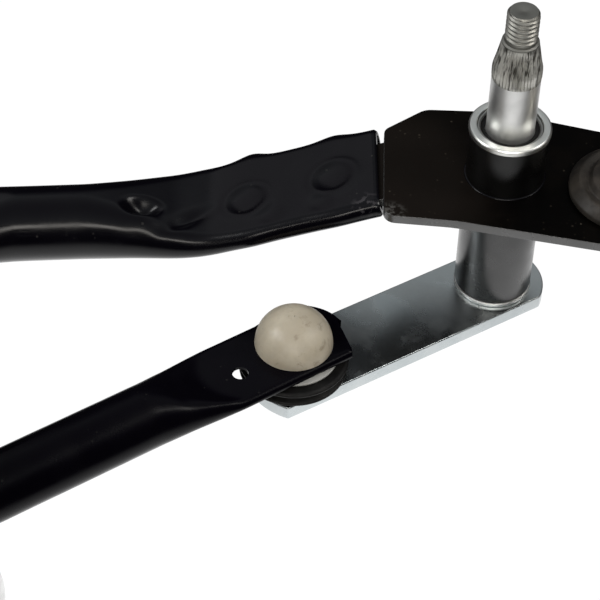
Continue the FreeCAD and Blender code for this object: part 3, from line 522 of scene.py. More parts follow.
GLOSS = black_gloss("black_tube_paint", (0.0015, 0.0012, 0.0026), (0.17, 0.25), 0.20)
LINK_PAINT = black_gloss("black_link_paint", (0.0015, 0.0011, 0.0026), (0.18, 0.30), 0.07)
SATIN = black_satin("black_plate_paint")
# Cut edges: lighter grey for thinner paint, with a painted reflection of the pale floor.
EDGE_PAINT_AND_SHEEN = black_gloss("black_edge_paint_and_sheen", (0.050, 0.050, 0.049), (0.24, 0.34), 1.0)
TUBE_BLACK = housing_black()
SHAFT_STEEL = machined("ground_steel", (0.94, 0.94, 0.925), (0.42, 0.48), depth=0.003)
RING_STEEL = machined("turned_ring_steel", (0.92, 0.925, 0.885), (0.30, 0.40), FINE_RINGS)
SEAL_STEEL = machined("seal_shell_steel", (0.40, 0.40, 0.385), (0.34, 0.44), FINE_RINGS)
KNURL_STEEL = streaked_steel("knurled_steel", (0.12, 0.115, 0.10), (0.72, 0.71, 0.665),
                             (1350.0, 1350.0, 105.0), 0.14)
THREAD_STEEL = machined("rolled_thread_steel", (0.31, 0.305, 0.28), (0.42, 0.54), (300.0, 300.0, 300.0))
ZINC = zinc_plate()
FASTENER = dark_zinc()
IVORY = ivory_nylon()
# Greyer copy of the ivory nylon: painted shade for the collar under the link.
NYLON_IN_PAINTED_SHADE = moulded("nylon_painted_shade", (0.34, 0.34, 0.33), (0.44, 0.44, 0.42))
BOOT_RUBBER = rubber("black_rubber", (0.0035, 0.0034, 0.0034), (0.0110, 0.0105, 0.0100))
MOUNT_RUBBER = rubber("mount_rubber", (0.020, 0.0175, 0.015), (0.048, 0.041, 0.034))
BRONZE = machined("sintered_bronze", (0.50, 0.34, 0.20), (0.36, 0.50), (500.0, 500.0, 500.0))
CASTING = cast_aluminium()
CAN = drawn_steel()
COVER = moulded("cover_black_plastic", (0.014, 0.014, 0.015), (0.022, 0.022, 0.023))
GEAR = moulded("gear_acetal", (0.62, 0.60, 0.54), (0.70, 0.68, 0.62))
FERRITE = moulded("ferrite_grey", (0.030, 0.030, 0.032), (0.050, 0.049, 0.050), grain=2200.0)

BY_SLOT = {"frame_tube": GLOSS, "bracket": SATIN, "housing": TUBE_BLACK, "link_tube": LINK_PAINT,
           "machined_steel": SHAFT_STEEL, "spring_steel": RING_STEEL, "zinc_plate": ZINC, "bronze": BRONZE,
           "rubber": BOOT_RUBBER, "nylon": IVORY, "die_cast": CASTING, "can_steel": CAN,
           "cover_plastic": COVER, "gear_plastic": GEAR, "ferrite": FERRITE}


def finish_cad_nodes():
    """Every CAD node shows the finish of its slot, whether or not a finer piece replaces it."""
    for node, piece in frame["nodes"].items():
        piece.data.materials.clear()
        piece.data.materials.append(BY_SLOT[SLOT[node]])


# ---------------------------------------------------------------- formed tubes


def stadium(width, thickness, count):
    """Points at equal steps round a stadium, from its right-most point."""
    radius, straight = thickness / 2, (width - thickness) / 2
    arc = radius * math.pi / 2
    quarter = arc + straight
    travel = (np.arange(count) + 0.5) * 4 * quarter / count
    half_turns, rest = np.divmod(travel, 2 * quarter)
    mirrored_half = rest > quarter
    rest = np.where(mirrored_half, 2 * quarter - rest, rest)
    on_arc = rest < arc
    x = np.where(on_arc, straight + radius * np.cos(rest / max(radius, 1e-6)), straight - (rest - arc))
    y = np.where(on_arc, radius * np.sin(rest / max(radius, 1e-6)), radius)
    x = np.where(mirrored_half, -x, x)
    sign = np.where(half_turns % 2 == 0, 1.0, -1.0)
    return x * sign, y * sign


class Route:
    """A path of straight runs joined by tangent arcs, looked up by distance."""

    def __init__(self, corners, radius):
        points = [np.array(corners[0], float)]
        for before, corner, after in zip(corners, corners[1:], corners[2:]):
            corner = np.array(corner, float)
            back, ahead = np.array(before) - corner, np.array(after) - corner
            back, ahead = back / np.linalg.norm(back), ahead / np.linalg.norm(ahead)
            half = math.acos(np.clip(back @ ahead, -1, 1)) / 2
            setback = radius / math.tan(half)
            middle = (back + ahead) / np.linalg.norm(back + ahead)
            centre = corner + middle * radius / math.sin(half)
            start, end = corner + back * setback - centre, corner + ahead * setback - centre
            for share in np.linspace(0, 1, 40):
                spoke = start * (1 - share) + end * share
                points.append(centre + spoke / np.linalg.norm(spoke) * radius)
        points.append(np.array(corners[-1], float))
        self.points = np.array(points)
        steps = np.linalg.norm(np.diff(self.points, axis=0), axis=1)
        self.reach = np.concatenate([[0], np.cumsum(steps)])
        self.length = self.reach[-1]

    def at(self, distance):
        return np.array([np.interp(distance, self.reach, self.points[:, axis]) for axis in range(3)])

    def frame_at(self, distance):
        """Point, direction, level side direction and upward direction."""
        low, high = max(distance - 0.5, 0), min(distance + 0.5, self.length)
        along = self.at(high) - self.at(low)
        along /= np.linalg.norm(along)
        side = np.cross([0, 0, 1], along)
        side /= np.linalg.norm(side)
        return self.at(distance), along, side, np.cross(along, side)


def eased(stations, distances, smoothing=1.6):
    """Width and thickness at each distance, eased between the given stations."""
    grid = np.arange(0, stations[-1][0] + 0.25, 0.25)
    kernel = np.exp(-0.5 * (np.arange(-24, 25) * 0.25 / smoothing) ** 2)
    kernel /= kernel.sum()
    result = []
    for column in (1, 2):
        values = np.interp(grid, [s[0] for s in stations], [s[column] for s in stations])
        values = np.convolve(np.pad(values, 24, mode="edge"), kernel, mode="valid")
        result.append(np.interp(distances, grid, values))
    return result


def both_ends(near, length):
    """Stations of one end, then the same end mirrored."""
    return near + [(length - distance, width, thickness) for distance, width, thickness in reversed(near)]


def falloff(along, across, radius):
    """Smooth falloff, 1 at the middle and 0 beyond the radius."""
    distance = np.sqrt(along ** 2 + across ** 2) / radius
    return np.where(distance < 1, (1 - distance ** 2) ** 2, 0.0)


TUBE_LEVEL = -17.8
CRIMP_LEVEL = -2.0
CRIMP_RUN = 46.0
CRIMP_LEAN = -1.2
CRIMP_START = 31.0
RIGHT_TUBE_HEADING = 185.66
RIGHT_TUBE_STRAIGHT = 73.5
BRACKET_REACH = 54.0
FRAME_BEND_RADIUS = 40.0
FRAME_WALL = 1.5
FORMED_END = 76.0
FRAME_TUBE_DIAMETER = 19.0
# distance from the mouth, width and thickness
FRAME_TUBE_END = [(0.0, 29.6, 5.6), (38.0, 29.6, 5.6), (42.0, 29.2, 6.0), (47.0, 28.4, 7.2),
                  (52.0, 26.9, 8.8), (58.0, 24.7, 11.6), (64.0, 22.3, 14.5), (70.0, 20.4, 17.2),
                  (FORMED_END, FRAME_TUBE_DIAMETER, FRAME_TUBE_DIAMETER),
                  (FORMED_END + 8.0, FRAME_TUBE_DIAMETER, FRAME_TUBE_DIAMETER)]
FAR_EDGE_SHIFT = 0.7
STAKES = ((12.2, 0.3), (34.8, -0.8))
STAKE_RADIUS = 4.3
STAKE_DEPTH = 0.42
TUBE_POINTS = 112


def bell(value, middle, width):
    """1 at the middle, falling to 1/e at the width."""
    return np.exp(-((value - middle) / width) ** 2)


def frame_tube_marks(s, across, height):
    """How far the tools pushed the upper or lower skin in, s measured from the crimped end.

    Two round stakes with raised rims, an oval dent with a lip, a slanting groove, and shallow hollows.
    """
    push = np.zeros_like(s)
    for step, sideways in STAKES:
        apart = np.sqrt((s - step) ** 2 + (across - sideways) ** 2) + 1e-6
        facing = (s - step + across - sideways) / (1.4143 * apart)
        bowl = apart / (STAKE_RADIUS + 0.9 * (1 - facing))
        rounding = np.clip(1.0 - bowl ** 2.4, 0, 1) ** 1.15
        push += STAKE_DEPTH * np.where(bowl < 1, rounding, 0) - 0.16 * bell(bowl, 1.15, 0.2)
    dent = falloff((s - 62.2) / 1.3, (across + 2.4) * 1.15, 4.6)
    dent_lip = 0.5 * falloff(s - 62.0, (across + 7.6) * 0.9, 5.0)
    groove = 1.2 * bell(across, -6.4 - 0.42 * (s - 51.5), 2.1) * bell(s, 51.5, 6.0)
    second = 0.30 * falloff(s - 28.0, across + 8.5, 5.0) + 0.30 * falloff(s - 15.0, across + 8.5, 4.5)
    above = push + 3.3 * dent - dent_lip + groove + second
    return np.where(height > 0, above, 0.3 * falloff(s - 24.0, across, 10.0))


def crimp_edge(s):
    """How far the rounded edges swell beside each stake mark."""
    return 1.7 * bell(s, 11.5, 4.6) + 2.2 * bell(s, 33.5, 4.2)


def frame_tube(side, corners):
    """Round tube with both ends squashed over a tongue and staked from above."""
    route = Route(corners, FRAME_BEND_RADIUS)
    stations = both_ends(FRAME_TUBE_END, route.length)
    formed = FRAME_TUBE_END[-1][0]
    near = np.concatenate([[0.0, 0.25, 0.6], np.arange(1.2, formed, 0.8),
                           np.arange(formed, route.length / 2, 4.0)])
    distances = np.concatenate([near, route.length - near[::-1]])
    widths, heights = eased(stations, distances)
    outer, inner = [], []
    for distance, width, thickness in zip(distances, widths, heights):
        centre, _, sideways, upward = route.frame_at(distance)
        from_end = min(distance, route.length - distance)
        flat = np.clip((FORMED_END - from_end) / 30.0, 0, 1)
        mouth_rounding = 0.5 * math.exp(-(from_end / 0.35) ** 2)
        towards = -1.0 if (side == "right") == (distance < route.length / 2) else 1.0
        for rings, wall in ((outer, mouth_rounding), (inner, FRAME_WALL)):
            x, y = stadium(width - 2 * wall, thickness - 2 * wall, TUBE_POINTS)
            s = np.full_like(x, from_end)
            across = x * towards
            far = 1 / (1 + np.exp(-across / 2.0))
            share = np.abs(2 * x / width)
            edge = np.clip(share, 0, 1) ** 6 * (crimp_edge(s) * (0.15 + 0.85 * far) - 0.3 + 1.1 * far)
            y = y - np.sign(y) * frame_tube_marks(s, across, y) * np.clip(1.25 - share ** 4, 0, 1)
            x = x + np.sign(x) * edge * flat + towards * FAR_EDGE_SHIFT * flat
            rings.append(centre + x[:, None] * sideways + y[:, None] * upward)
    piece = skin("frame_tube_%s_formed" % side, outer + inner[::-1], [GLOSS], closed_along=True,
                 sharp_angle=50.0)
    return stands_for(piece, "frame_tube_" + side)


LINK_DIAMETER = 16.0
LINK_FLAT_WIDTH = 21.2
LINK_FLAT_THICKNESS = 3.0
# distance from the ball, width and thickness
LINK_END = [(0.0, LINK_FLAT_WIDTH, LINK_FLAT_THICKNESS), (21.0, LINK_FLAT_WIDTH, LINK_FLAT_THICKNESS),
            (22.5, 20.9, 3.6), (27.0, 19.4, 7.6), (34.0, 17.6, 12.8),
            (42.0, LINK_DIAMETER, LINK_DIAMETER), (60.0, LINK_DIAMETER, LINK_DIAMETER)]
LINK_SHARP_ANGLE = 38.0
LINK_BEND_RADIUS = 60.0
LINK_BEND_REACH = 110.0
LINK_BEND_HEADING = 215.3
LINK_TIP = 14.25
LINK_END_RADIUS = 14.1
SLANT_START = 10.9
SLANT_RISE = 13.7
STEP_BOW = 4.6
SOCKET_BORE = 8.55
VENT_PLACE = (16.7, 1.5)
VENT_RADIUS = 2.0


def tip_edges(x):
    """Far and near edge of the flat at x beyond the ball: an arc, then a slanting cut."""
    half = LINK_FLAT_WIDTH / 2
    far = math.sqrt(max(LINK_END_RADIUS ** 2 - x ** 2, 0.0))
    near = max(x - SLANT_START, 0.0) * SLANT_RISE / (LINK_TIP - SLANT_START) - half
    return min(half, far), min(near, far - 0.05)


def drilled(piece, centre, radius, low, high):
    """Cuts an upright round hole of the given radius between two levels."""
    drill = turned("drill", [(0, low), (radius, low), (radius, high), (0, high)], centre, [LINK_PAINT],
                   segments=64, closed=False)
    applied(piece, ("BOOLEAN", {"operation": "DIFFERENCE", "solver": "EXACT", "object": drill}))
    bpy.data.objects.remove(drill)


def link_tube(side, ball_a, ball_b, via):
    """Tube whose ends are pressed flat with a U-shaped step, pierced for the sockets."""
    mid = LINK_TOP - LINK_FLAT_THICKNESS / 2
    toward_a = (via[0] if via else ball_b) - ball_a
    toward_b = (via[-1] if via else ball_a) - ball_b
    toward_a, toward_b = toward_a / np.linalg.norm(toward_a), toward_b / np.linalg.norm(toward_b)
    start, finish = ball_a - toward_a * LINK_TIP, ball_b - toward_b * LINK_TIP
    route = Route([np.append(point, mid) for point in [start] + via + [finish]], LINK_BEND_RADIUS)
    length = route.length
    tip = LINK_TIP * (1 - np.cos(np.linspace(0.0, math.pi / 2, 22)))
    near = np.concatenate([tip[:-1], np.arange(LINK_TIP, 66, 0.8), np.arange(66, length / 2, 6.0)])
    distances = np.concatenate([near, length - near[::-1]])
    reach = np.arange(0, LINK_END[-1][0], 0.25)
    widths, heights = eased(LINK_END, reach, 1.0)
    rings = []
    for distance in distances:
        centre, _, sideways, upward = route.frame_at(distance)
        from_tip = min(distance, length - distance)
        from_ball = max(from_tip - LINK_TIP, 0.0)
        width, height = np.interp(from_ball, reach, widths), np.interp(from_ball, reach, heights)
        x, y = stadium(width, height, 96)
        across = -x if distance < length / 2 else x
        later = STEP_BOW * np.clip(1 - (across / 9.0) ** 2, 0, 1)
        ratio = np.interp(np.maximum(from_ball - later, 0), reach, heights) / height
        blend = np.clip((44.0 - from_ball) / 10.0, 0, 1)
        y = y * (1 + (ratio - 1) * blend)
        if from_tip < LINK_TIP:
            far, close = tip_edges(LINK_TIP - from_tip)
            across = np.interp(across, [-width / 2, width / 2], [close, far])
            x = -across if distance < length / 2 else across
        rings.append(centre + x[:, None] * sideways + y[:, None] * upward)
    piece = skin("link_tube_%s_formed" % side, rings, [LINK_PAINT], sharp_angle=LINK_SHARP_ANGLE)
    below, above = mid - 9.0, mid + 9.0
    for ball, toward in ((ball_a, toward_a), (ball_b, toward_b)):
        vent = ball + toward * VENT_PLACE[0] + np.array([-toward[1], toward[0]]) * VENT_PLACE[1]
        drilled(piece, vent, VENT_RADIUS, below, above)
        drilled(piece, vent + [0.0, 1.2], VENT_RADIUS + 1.4, below, mid + 0.7)
        drilled(piece, ball, SOCKET_BORE, below, above)
    piece.data.set_sharp_from_angle(angle=math.radians(LINK_SHARP_ANGLE))
    return stands_for(piece, "link_tube_" + side)


def heading(degrees):
    """Level unit direction, anticlockwise from +X."""
    return np.array([math.cos(math.radians(degrees)), math.sin(math.radians(degrees))])


def drive_links():
    """The right-hand link bends once; the left-hand one is straight."""
    bend = ARM_BALL["right"] + LINK_BEND_REACH * heading(LINK_BEND_HEADING)
    link_tube("right", ARM_BALL["right"], CRANK_BALL["right"], [bend])
    link_tube("left", ARM_BALL["left"], CRANK_BALL["left"], [])


def frame_tubes():
    """Both tubes dip from the plates' level to their own and rise again to the motor bracket."""
    dip = np.array([0, 0, TUBE_LEVEL - CRIMP_LEVEL])
    level = np.append(heading(RIGHT_TUBE_HEADING), 0)
    start = np.append(PIVOT["right"] + [-CRIMP_START, 0], CRIMP_LEVEL)
    corner_a = start + [-CRIMP_RUN, CRIMP_LEAN, dip[2]]
    corner_b = corner_a + level * RIGHT_TUBE_STRAIGHT
    frame_tube("right", [start, corner_a, corner_b, corner_b + level * CRIMP_RUN - dip])
    across_car = np.append(PIVOT["left"] - MOTOR, 0)
    across_car /= np.linalg.norm(across_car)
    start = np.append(PIVOT["left"], CRIMP_LEVEL) - across_car * CRIMP_START
    finish = np.append(MOTOR, CRIMP_LEVEL) + across_car * BRACKET_REACH
    frame_tube("left", [start, start - across_car * CRIMP_RUN + dip,
                        finish + across_car * CRIMP_RUN + dip, finish])


# ---------------------------------------------------------------- pivots


SHAFT_RADIUS = 6.0
RIVET_RADIUS = 5.15
SNAP_GROOVE = (5.4, 12.7, 13.9)
SHAFT_TOP = extent("pivot_shaft_right")[1][2]
THREAD_LENGTH = 8.5
TAPER_LENGTH = 8.0
TAPER_END = SHAFT_TOP - THREAD_LENGTH
TAPER_START = TAPER_END - TAPER_LENGTH
TAPER_TIP_RADIUS = 4.45
THREAD_RADIUS = 3.97
THREAD_PITCH = 1.25
THREAD_DEPTH = 0.5
SERRATIONS = 46
SERRATION_DEPTH = 0.42
SERRATION_START = TAPER_START - 2.9


def shaft_surface(angle, z):
    """Radius of the shaft's upper end: plain, serrated taper, then thread."""
    if z < TAPER_END:
        share = np.clip((z - TAPER_START) / TAPER_LENGTH, 0, 1)
        cone = SHAFT_RADIUS + (TAPER_TIP_RADIUS - SHAFT_RADIUS) * share
        tooth = np.abs(((angle * SERRATIONS / (2 * math.pi)) % 1.0) - 0.5) * 2
        worn = 0.80 + 0.20 * np.sin(angle * 7.0 + 1.3) * np.sin(angle * 3.0 + z * 0.9)
        start = SERRATION_START + 0.2 * np.sin(angle * 9.0)
        fade = np.clip((z - start) / 0.7, 0, 1) * np.clip((TAPER_END - 0.7 - z) / 1.8, 0, 1)
        raised = 0.10 * fade * np.clip((TAPER_START + 2.5 - z) / 2.0, 0, 1)
        return cone + raised - SERRATION_DEPTH * (1 - tooth) * fade * worn
    turn = (angle / (2 * math.pi) + (z - TAPER_END) / THREAD_PITCH) % 1.0
    crest = np.minimum(1.2 * (0.5 - 0.5 * np.cos(2 * math.pi * turn)), 1.0)
    runout = np.clip((z - TAPER_END - 0.4) / 1.0, 0, 1)
    chamfer = max(z - (SHAFT_TOP - 0.75), 0) * 0.75
    radius = THREAD_RADIUS - THREAD_DEPTH * (1 - crest) * runout
    return np.minimum(radius, THREAD_RADIUS - chamfer)


def pivot_shaft(side):
    """Shaft riveted in the arm, grooved for its snap ring, serrated and threaded at the top."""
    centre = PIVOT[side]
    angles = around(6 * SERRATIONS)
    groove, groove_low, groove_high = SNAP_GROOVE
    plain = rounded([(0.6, ARM_BOTTOM), (RIVET_RADIUS - 0.55, ARM_BOTTOM, 0.3),
                     (RIVET_RADIUS, ARM_BOTTOM + 0.5, 0.2), (RIVET_RADIUS, ARM_TOP), (SHAFT_RADIUS, ARM_TOP),
                     (SHAFT_RADIUS, groove_low, 0.1), (groove, groove_low), (groove, groove_high),
                     (SHAFT_RADIUS, groove_high, 0.1), (SHAFT_RADIUS, SERRATION_START - 0.6)], False)
    levels = np.concatenate([np.arange(SERRATION_START - 0.4, TAPER_END - 0.02, 0.24),
                             np.arange(TAPER_END, SHAFT_TOP + 0.01, 0.1)])
    rings = [ring_at(centre, radius, z, angles) for radius, z in plain]
    rings += [ring_at(centre, shaft_surface(angles, z), z, angles) for z in levels]
    end_face = ((3.3, 0), (1.1, 0.03), (0.3, 0.2))
    rings += [ring_at(centre, radius, SHAFT_TOP - sunk, angles) for radius, sunk in end_face]
    piece = skin("pivot_shaft_%s_machined" % side, rings, [SHAFT_STEEL, KNURL_STEEL, THREAD_STEEL],
                 sharp_angle=40.0)
    for face in piece.data.polygons:
        height = face.center[2] / MM
        face.material_index = int(height > SERRATION_START - 0.2) + int(height > TAPER_END - 0.5)
    return stands_for(piece, "pivot_shaft_" + side)


BUSH_SEAT = 8.45
SEAL_RADIUS = 8.15
SEAL_BORE = 7.3
WASHER_RADIUS = 9.95
FINE_TURNS = 128


def levels_and_radius(node):
    """Bottom, top and outer radius of a round CAD node."""
    low, high = extent(node)
    return low[2], high[2], (high[0] - low[0]) / 2


def bearing(side):
    """Bearing tube, the bead where it leaves the plate, its top ring, seal and thrust washer."""
    centre = PIVOT[side]
    low, high, outer = levels_and_radius("pivot_housing_" + side)
    turned_for("pivot_housing_" + side, "finished", [
        (BUSH_SEAT, low, 0.2), (outer, low, 0.45), (outer, high, 0.2), (BUSH_SEAT, high, 0.2)],
        centre, [TUBE_BLACK], segments=FINE_TURNS)
    bead = turned("plate_bead_" + side, [
        (outer + 0.01, 0.02), (outer + 0.4, 0.02, 0.1), (outer + 0.22, 0.2, 0.08), (outer + 0.01, 0.3)],
        centre, [GLOSS], segments=FINE_TURNS)
    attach(bead, HOME["pivot_plate_" + side])
    low, top, rim = levels_and_radius("top_ring_" + side)
    turned_for("top_ring_" + side, "turned", [
        (8.5, low + 0.25), (outer, low + 0.22), (outer, low), (rim, low, 0.2), (rim, top - 0.45, 0.25),
        (rim - 0.35, top, 0.3), (8.2, top, 0.2), (SEAL_RADIUS, top - 0.4), (8.5, top - 0.42)],
        centre, [RING_STEEL], segments=FINE_TURNS)
    low, high, _ = levels_and_radius("seal_ring_" + side)
    turned_for("seal_ring_" + side, "shell", [
        (SEAL_BORE, low, 0.1), (SEAL_RADIUS, low, 0.1), (SEAL_RADIUS, high, 0.25),
        (SEAL_BORE + 0.3, high, 0.2), (SEAL_BORE, high - 0.3, 0.1)],
        centre, [SEAL_STEEL], segments=FINE_TURNS)
    lip = turned("seal_lip_" + side, [
        (6.1, low + 0.05, 0.05), (SEAL_BORE - 0.02, low + 0.05), (SEAL_BORE - 0.02, high - 0.4),
        (6.7, high - 0.7, 0.1), (6.15, high - 0.55, 0.1)], centre, [BOOT_RUBBER])
    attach(lip, HOME["seal_ring_" + side])
    low, high, _ = levels_and_radius("thrust_washer_" + side)
    bore = SHAFT_RADIUS + 0.02
    turned_for("thrust_washer_" + side, "turned", [
        (bore, low), (WASHER_RADIUS, low, 0.35), (WASHER_RADIUS, high, 0.35), (bore, high)],
        centre, [SHAFT_STEEL], segments=FINE_TURNS)


# ---------------------------------------------------------------- rubber mounts


FIXING_BORE = 4.25
SLEEVE_RADIUS = 7.2
SLEEVE_FLANGE = (8.8, 0.95)
GROMMET_NECK = 11.3
SLOT_LOW, SLOT_HIGH = -2.65, 0.15


def rubber_mount(place):
    """Grommet held round its neck by the plate, with a stepped top, and the flanged sleeve inside it."""
    centre = axis_point("grommet_" + place)
    low, high, outer = levels_and_radius("grommet_" + place)
    bore = SLEEVE_RADIUS + 0.02
    turned_for("grommet_" + place, "moulded", [
        (bore, low, 0.6), (outer - 3.4, low, 1.2), (outer, -4.1, 0.8), (outer, SLOT_LOW, 0.5),
        (GROMMET_NECK, SLOT_LOW, 0.3), (GROMMET_NECK, SLOT_HIGH, 0.3), (outer, SLOT_HIGH, 0.5),
        (outer, 1.7, 0.9), (outer - 2.6, high - 1.3, 0.8), (outer - 4.6, high - 2.3, 0.6),
        (outer - 5.6, high - 0.5, 0.6), (outer - 7.2, high, 0.6), (bore, high, 0.4)],
        centre, [MOUNT_RUBBER], segments=FINE_TURNS)
    low, high, _ = levels_and_radius("grommet_sleeve_" + place)
    flange, flange_top = SLEEVE_FLANGE[0], low + SLEEVE_FLANGE[1]
    turned_for("grommet_sleeve_" + place, "turned", [
        (FIXING_BORE, low, 0.35), (flange, low, 0.2), (flange, flange_top, 0.2),
        (SLEEVE_RADIUS, flange_top, 0.1), (SLEEVE_RADIUS, high, 0.35), (FIXING_BORE, high, 0.5)],
        centre, [FASTENER])


# ---------------------------------------------------------------- ball joints


BALL_RADIUS = 6.5
CUP_RADIUS = 6.65
SOCKET_NECK = 8.5
STUD_RIVET = 3.98
STUD_COLLAR = 7.0
BOOT_BORE = 7.9


def arc(radius, level, first, last, count):
    """Radius and height of points on a ball, between two latitudes in degrees."""
    latitudes = np.radians(np.linspace(first, last, count))
    return [(radius * math.cos(turn), level + radius * math.sin(turn)) for turn in latitudes]


def ball_stud(stud):
    """Ball on a collar, riveted over below the arm."""
    head, under = ARM_BOTTOM - 1.4, ARM_BOTTOM + 0.02
    turned_for(stud, "headed", [
        (0.3, head), (5.2, head, 0.8), (6.2, ARM_BOTTOM - 0.5, 0.4), (6.2, under), (STUD_RIVET, under),
        (STUD_RIVET, ARM_TOP), (STUD_COLLAR, ARM_TOP, 0.1), (STUD_COLLAR, ARM_TOP + 1.2, 0.5),
        (4.0, ARM_TOP + 2.0, 0.4)] + arc(BALL_RADIUS, LINK_TOP, -52, 89, 26),
        axis_point(stud), [SHAFT_STEEL], segments=72, closed=False)


def nylon_socket(socket, centre):
    """Cup that snaps into the link: ivory, slightly flattened dome above, and below the link a collar in a
    greyer copy of the nylon that paints in its shade.
    """
    latitudes = np.radians(np.linspace(0, 89.3, 40))
    dome = [((DOME_RADIUS - 0.12) * math.cos(turn) ** 0.93,
             LINK_TOP + 0.3 + (DOME_RADIUS - 0.7) * math.sin(turn)) for turn in latitudes]
    foot, seat = LINK_TOP - 5.3, LINK_TOP + 0.02
    piece = turned_for(socket, "moulded", [
        (5.6, foot, 0.2), (8.3, foot, 0.4), (SOCKET_NECK, LINK_TOP - 4.2, 0.2), (11.2, LINK_TOP - 3.95, 0.25),
        (11.4, LINK_TOP - 3.25, 0.25), (SOCKET_NECK, LINK_TOP - 3.05), (SOCKET_NECK, seat),
        (DOME_RADIUS - 0.05, seat, 0.2)] + dome + arc(CUP_RADIUS, LINK_TOP, 89, -35, 24),
        centre, [IVORY, NYLON_IN_PAINTED_SHADE], segments=120, sharp_angle=45.0)
    # The collar below the link takes the grey copy of the nylon, a painted shade.
    for face in piece.data.polygons:
        if face.center[2] / MM < LINK_TOP:
            face.material_index = 1


def rubber_boot(boot, centre):
    """Bellows with one fold, from the socket's collar down to just above the arm."""
    top, foot = LINK_TOP - 4.15, ARM_TOP + 0.4
    turned_for(boot, "moulded", [
        (9.3, top, 0.2), (13.2, top, 0.7), (14.15, top - 0.75, 0.5), (13.3, top - 1.7, 0.5),
        (11.6, top - 2.35, 0.5), (11.7, top - 2.9, 0.4), (13.4, foot + 0.9, 0.4), (13.6, foot, 0.3),
        (BOOT_BORE, foot, 0.2), (BOOT_BORE, foot + 0.8, 0.2), (9.3, foot + 1.6, 0.3)],
        centre, [BOOT_RUBBER], segments=FINE_TURNS)


def ball_joint(stud, socket, boot):
    centre = axis_point(stud)
    ball_stud(stud)
    nylon_socket(socket, centre)
    rubber_boot(boot, centre)


# ---------------------------------------------------------------- assembly


def sheared(piece):
    """The cut edges of a blank take a thinner, shinier coat of paint, in a lighter grey that also paints in
    the pale floor's reflection.
    """
    for face in piece.data.polygons:
        if abs(face.normal[2]) < 0.8:
            face.material_index = 1


def pressed_pieces():
    """Plates, bracket, arms and motor crank."""
    for side in SIDES:
        sheared(softened("pivot_plate_" + side, [SATIN, EDGE_PAINT_AND_SHEEN], 0.5))
        softened("crank_arm_" + side, [ZINC], 0.7, segments=4)
    softened("motor_crank", [ZINC], 0.7, segments=4)
    sheared(softened("motor_bracket", [SATIN, EDGE_PAINT_AND_SHEEN], 0.5))


def gear_motor():
    """The motor's castings, covers, can and fasteners."""
    softened("gear_housing", [CASTING], 0.7, segments=2)
    softened("gear_cover", [COVER], 0.5, segments=2)
    softened("connector", [COVER], 0.3, segments=2)
    smoothed("motor_can", [CAN])
    for node in ("cover_screws", "can_screws", "motor_screws", "crank_nut"):
        softened(node, [FASTENER], 0.25, segments=2)


finish_cad_nodes()
frame_tubes()
drive_links()
for side in SIDES:
    pivot_shaft(side)
    bearing(side)
    ball_joint("arm_ball_stud_" + side, "outer_socket_" + side, "outer_boot_" + side)
    ball_joint("crank_ball_stud_" + side, "inner_socket_" + side, "inner_boot_" + side)
for place in ("right", "left", "motor"):
    rubber_mount(place)
pressed_pieces()
gear_motor()


# ---------------------------------------------------------------- floor, light and camera


FLOOR_Z = -0.34
FLOOR_REACH = 6.0


def seen_or_reflected(tree, seen, reflected, target):
    """Pale to the eye, while the object mirrors the studio's uneven light."""
    path = tree.nodes.new("ShaderNodeLightPath")
    mix = tree.nodes.new("ShaderNodeMixShader")
    tree.links.new(path.outputs["Is Camera Ray"], mix.inputs["Fac"])
    tree.links.new(reflected, mix.inputs[1])
    tree.links.new(seen, mix.inputs[2])
    tree.links.new(mix.outputs[0], target)


def plain_glow(tree, strength):
    """White emission of the given strength."""
    glow = tree.nodes.new("ShaderNodeEmission")
    glow.inputs["Color"].default_value = (1, 1, 1, 1)
    glow.inputs["Strength"].default_value = strength
    return glow


def stage():
    """A plain pale floor; what the object mirrors is brightest below its right-hand end."""
    mesh = bpy.data.meshes.new("floor")
    square = ((-1, -1), (1, -1), (1, 1), (-1, 1))
    mesh.from_pydata([(x * FLOOR_REACH, y * FLOOR_REACH, FLOOR_Z) for x, y in square], [], [(0, 1, 2, 3)])
    floor = in_scene("floor", mesh)
    recipe = Recipe("floor_white")
    tree = recipe.tree
    middle = recipe.node("ShaderNodeMapping", vector_type="POINT")
    middle.inputs["Location"].default_value = (0.05, 0.0, -FLOOR_Z)
    middle.inputs["Scale"].default_value = (1.35, 1.0, 1.0)
    recipe.link(recipe.place, middle.inputs["Vector"])
    distance = recipe.node("ShaderNodeVectorMath", operation="LENGTH")
    recipe.link(middle.outputs["Vector"], distance.inputs[0])
    glow = plain_glow(tree, 1.0)
    recipe.link(recipe.span(distance.outputs["Value"], 0.28, 0.85, 1.35, 0.01), glow.inputs["Strength"])
    seen = plain_glow(tree, 1.02)
    output = [node for node in tree.nodes if node.type == "OUTPUT_MATERIAL"][0]
    seen_or_reflected(tree, seen.outputs[0], glow.outputs[0], output.inputs["Surface"])
    mesh.materials.append(recipe.material)


SKY_STOPS = ((0.0, (0.012, 0.012, 0.013)), (0.45, (0.020, 0.020, 0.022)), (0.62, (0.22, 0.23, 0.24)),
             (0.73, (0.56, 0.59, 0.60)), (1.0, (0.30, 0.305, 0.31)))


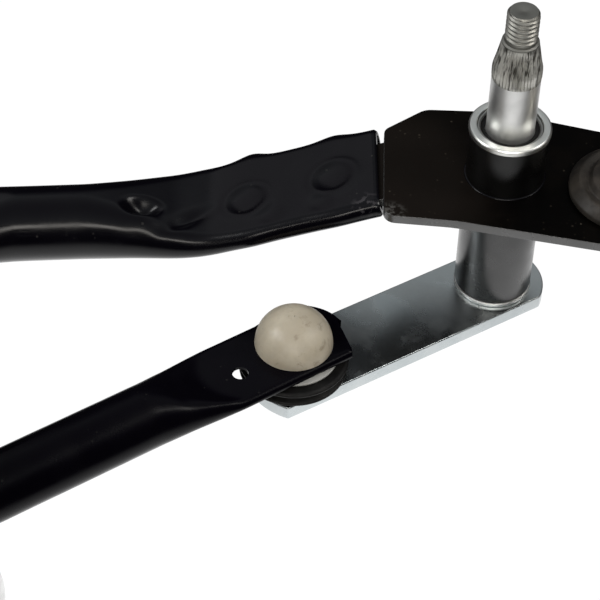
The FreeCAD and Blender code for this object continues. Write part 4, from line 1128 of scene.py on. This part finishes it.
def world():
    """Dim room: a grey band at the height that flat tops mirror, darker near the horizon."""
    made = bpy.data.worlds.new("studio")
    bpy.context.scene.world = made
    made.use_nodes = True
    tree = made.node_tree
    place = tree.nodes.new("ShaderNodeTexCoord")
    split = tree.nodes.new("ShaderNodeSeparateXYZ")
    ramp = tree.nodes.new("ShaderNodeValToRGB")
    tree.links.new(place.outputs["Generated"], split.inputs[0])
    tree.links.new(split.outputs["Z"], ramp.inputs["Fac"])
    elements = ramp.color_ramp.elements
    while len(elements) < len(SKY_STOPS):
        elements.new(0.5)
    for element, (position, colour) in zip(elements, SKY_STOPS):
        element.position = position
        element.color = colour + (1.0,)
    background = tree.nodes["Background"]
    tree.links.new(ramp.outputs["Color"], background.inputs["Color"])
    seen_or_reflected(tree, plain_glow(tree, 1.0).outputs[0], background.outputs[0],
                      tree.nodes["World Output"].inputs["Surface"])


def area_light(name, place, target, size, power, colour=(1, 1, 1)):
    """Rectangular lamp at a place, facing the target."""
    data = bpy.data.lights.new(name, "AREA")
    data.shape = "RECTANGLE"
    data.size, data.size_y = size
    data.energy = power
    data.color = colour
    lamp = in_scene(name, data)
    lamp.location = place
    lamp.rotation_euler = (Vector(target) - Vector(place)).to_track_quat("-Z", "Y").to_euler()


def lights():
    """A strip behind and above the camera draws the tubes' long highlights; side boxes light the rest."""
    target = (-0.08, 0.0, -0.02)
    area_light("strip", (-0.08, -1.30, 0.85), target, (1.2, 0.24), 9.0, (1.0, 0.96, 0.90))
    area_light("back_panel", (-0.84, 1.10, 0.80), target, (0.7, 0.7), 0.55, (0.97, 0.96, 1.0))
    area_light("left_box", (-1.15, -0.15, 0.95), target, (0.5, 0.5), 8.0)
    area_light("right_box", (1.05, -0.10, 0.95), target, (0.5, 0.5), 7.0, (1.0, 0.97, 0.93))


CAMERA_PLACE = (-0.080861, -0.402768, 0.365146)
CAMERA_RIGHT = Vector((0.99942, 0.02428, 0.02403))
CAMERA_FORWARD = Vector((0.0, 0.70342, -0.71077))
LENS = 131.77


def camera():
    """Looks down at about 45 degrees from the front, rolled by a degree or so."""
    data = bpy.data.cameras.new("view")
    data.lens = LENS
    data.sensor_width = 36.0
    data.clip_start = 0.01
    eye = in_scene("view", data)
    up = CAMERA_RIGHT.cross(CAMERA_FORWARD).normalized()
    axes = Matrix((CAMERA_RIGHT, up, -CAMERA_FORWARD)).transposed().to_4x4()
    eye.matrix_world = Matrix.Translation(CAMERA_PLACE) @ axes
    bpy.context.scene.camera = eye
    bpy.context.scene.view_settings.view_transform = "Standard"


stage()
world()
lights()
camera()
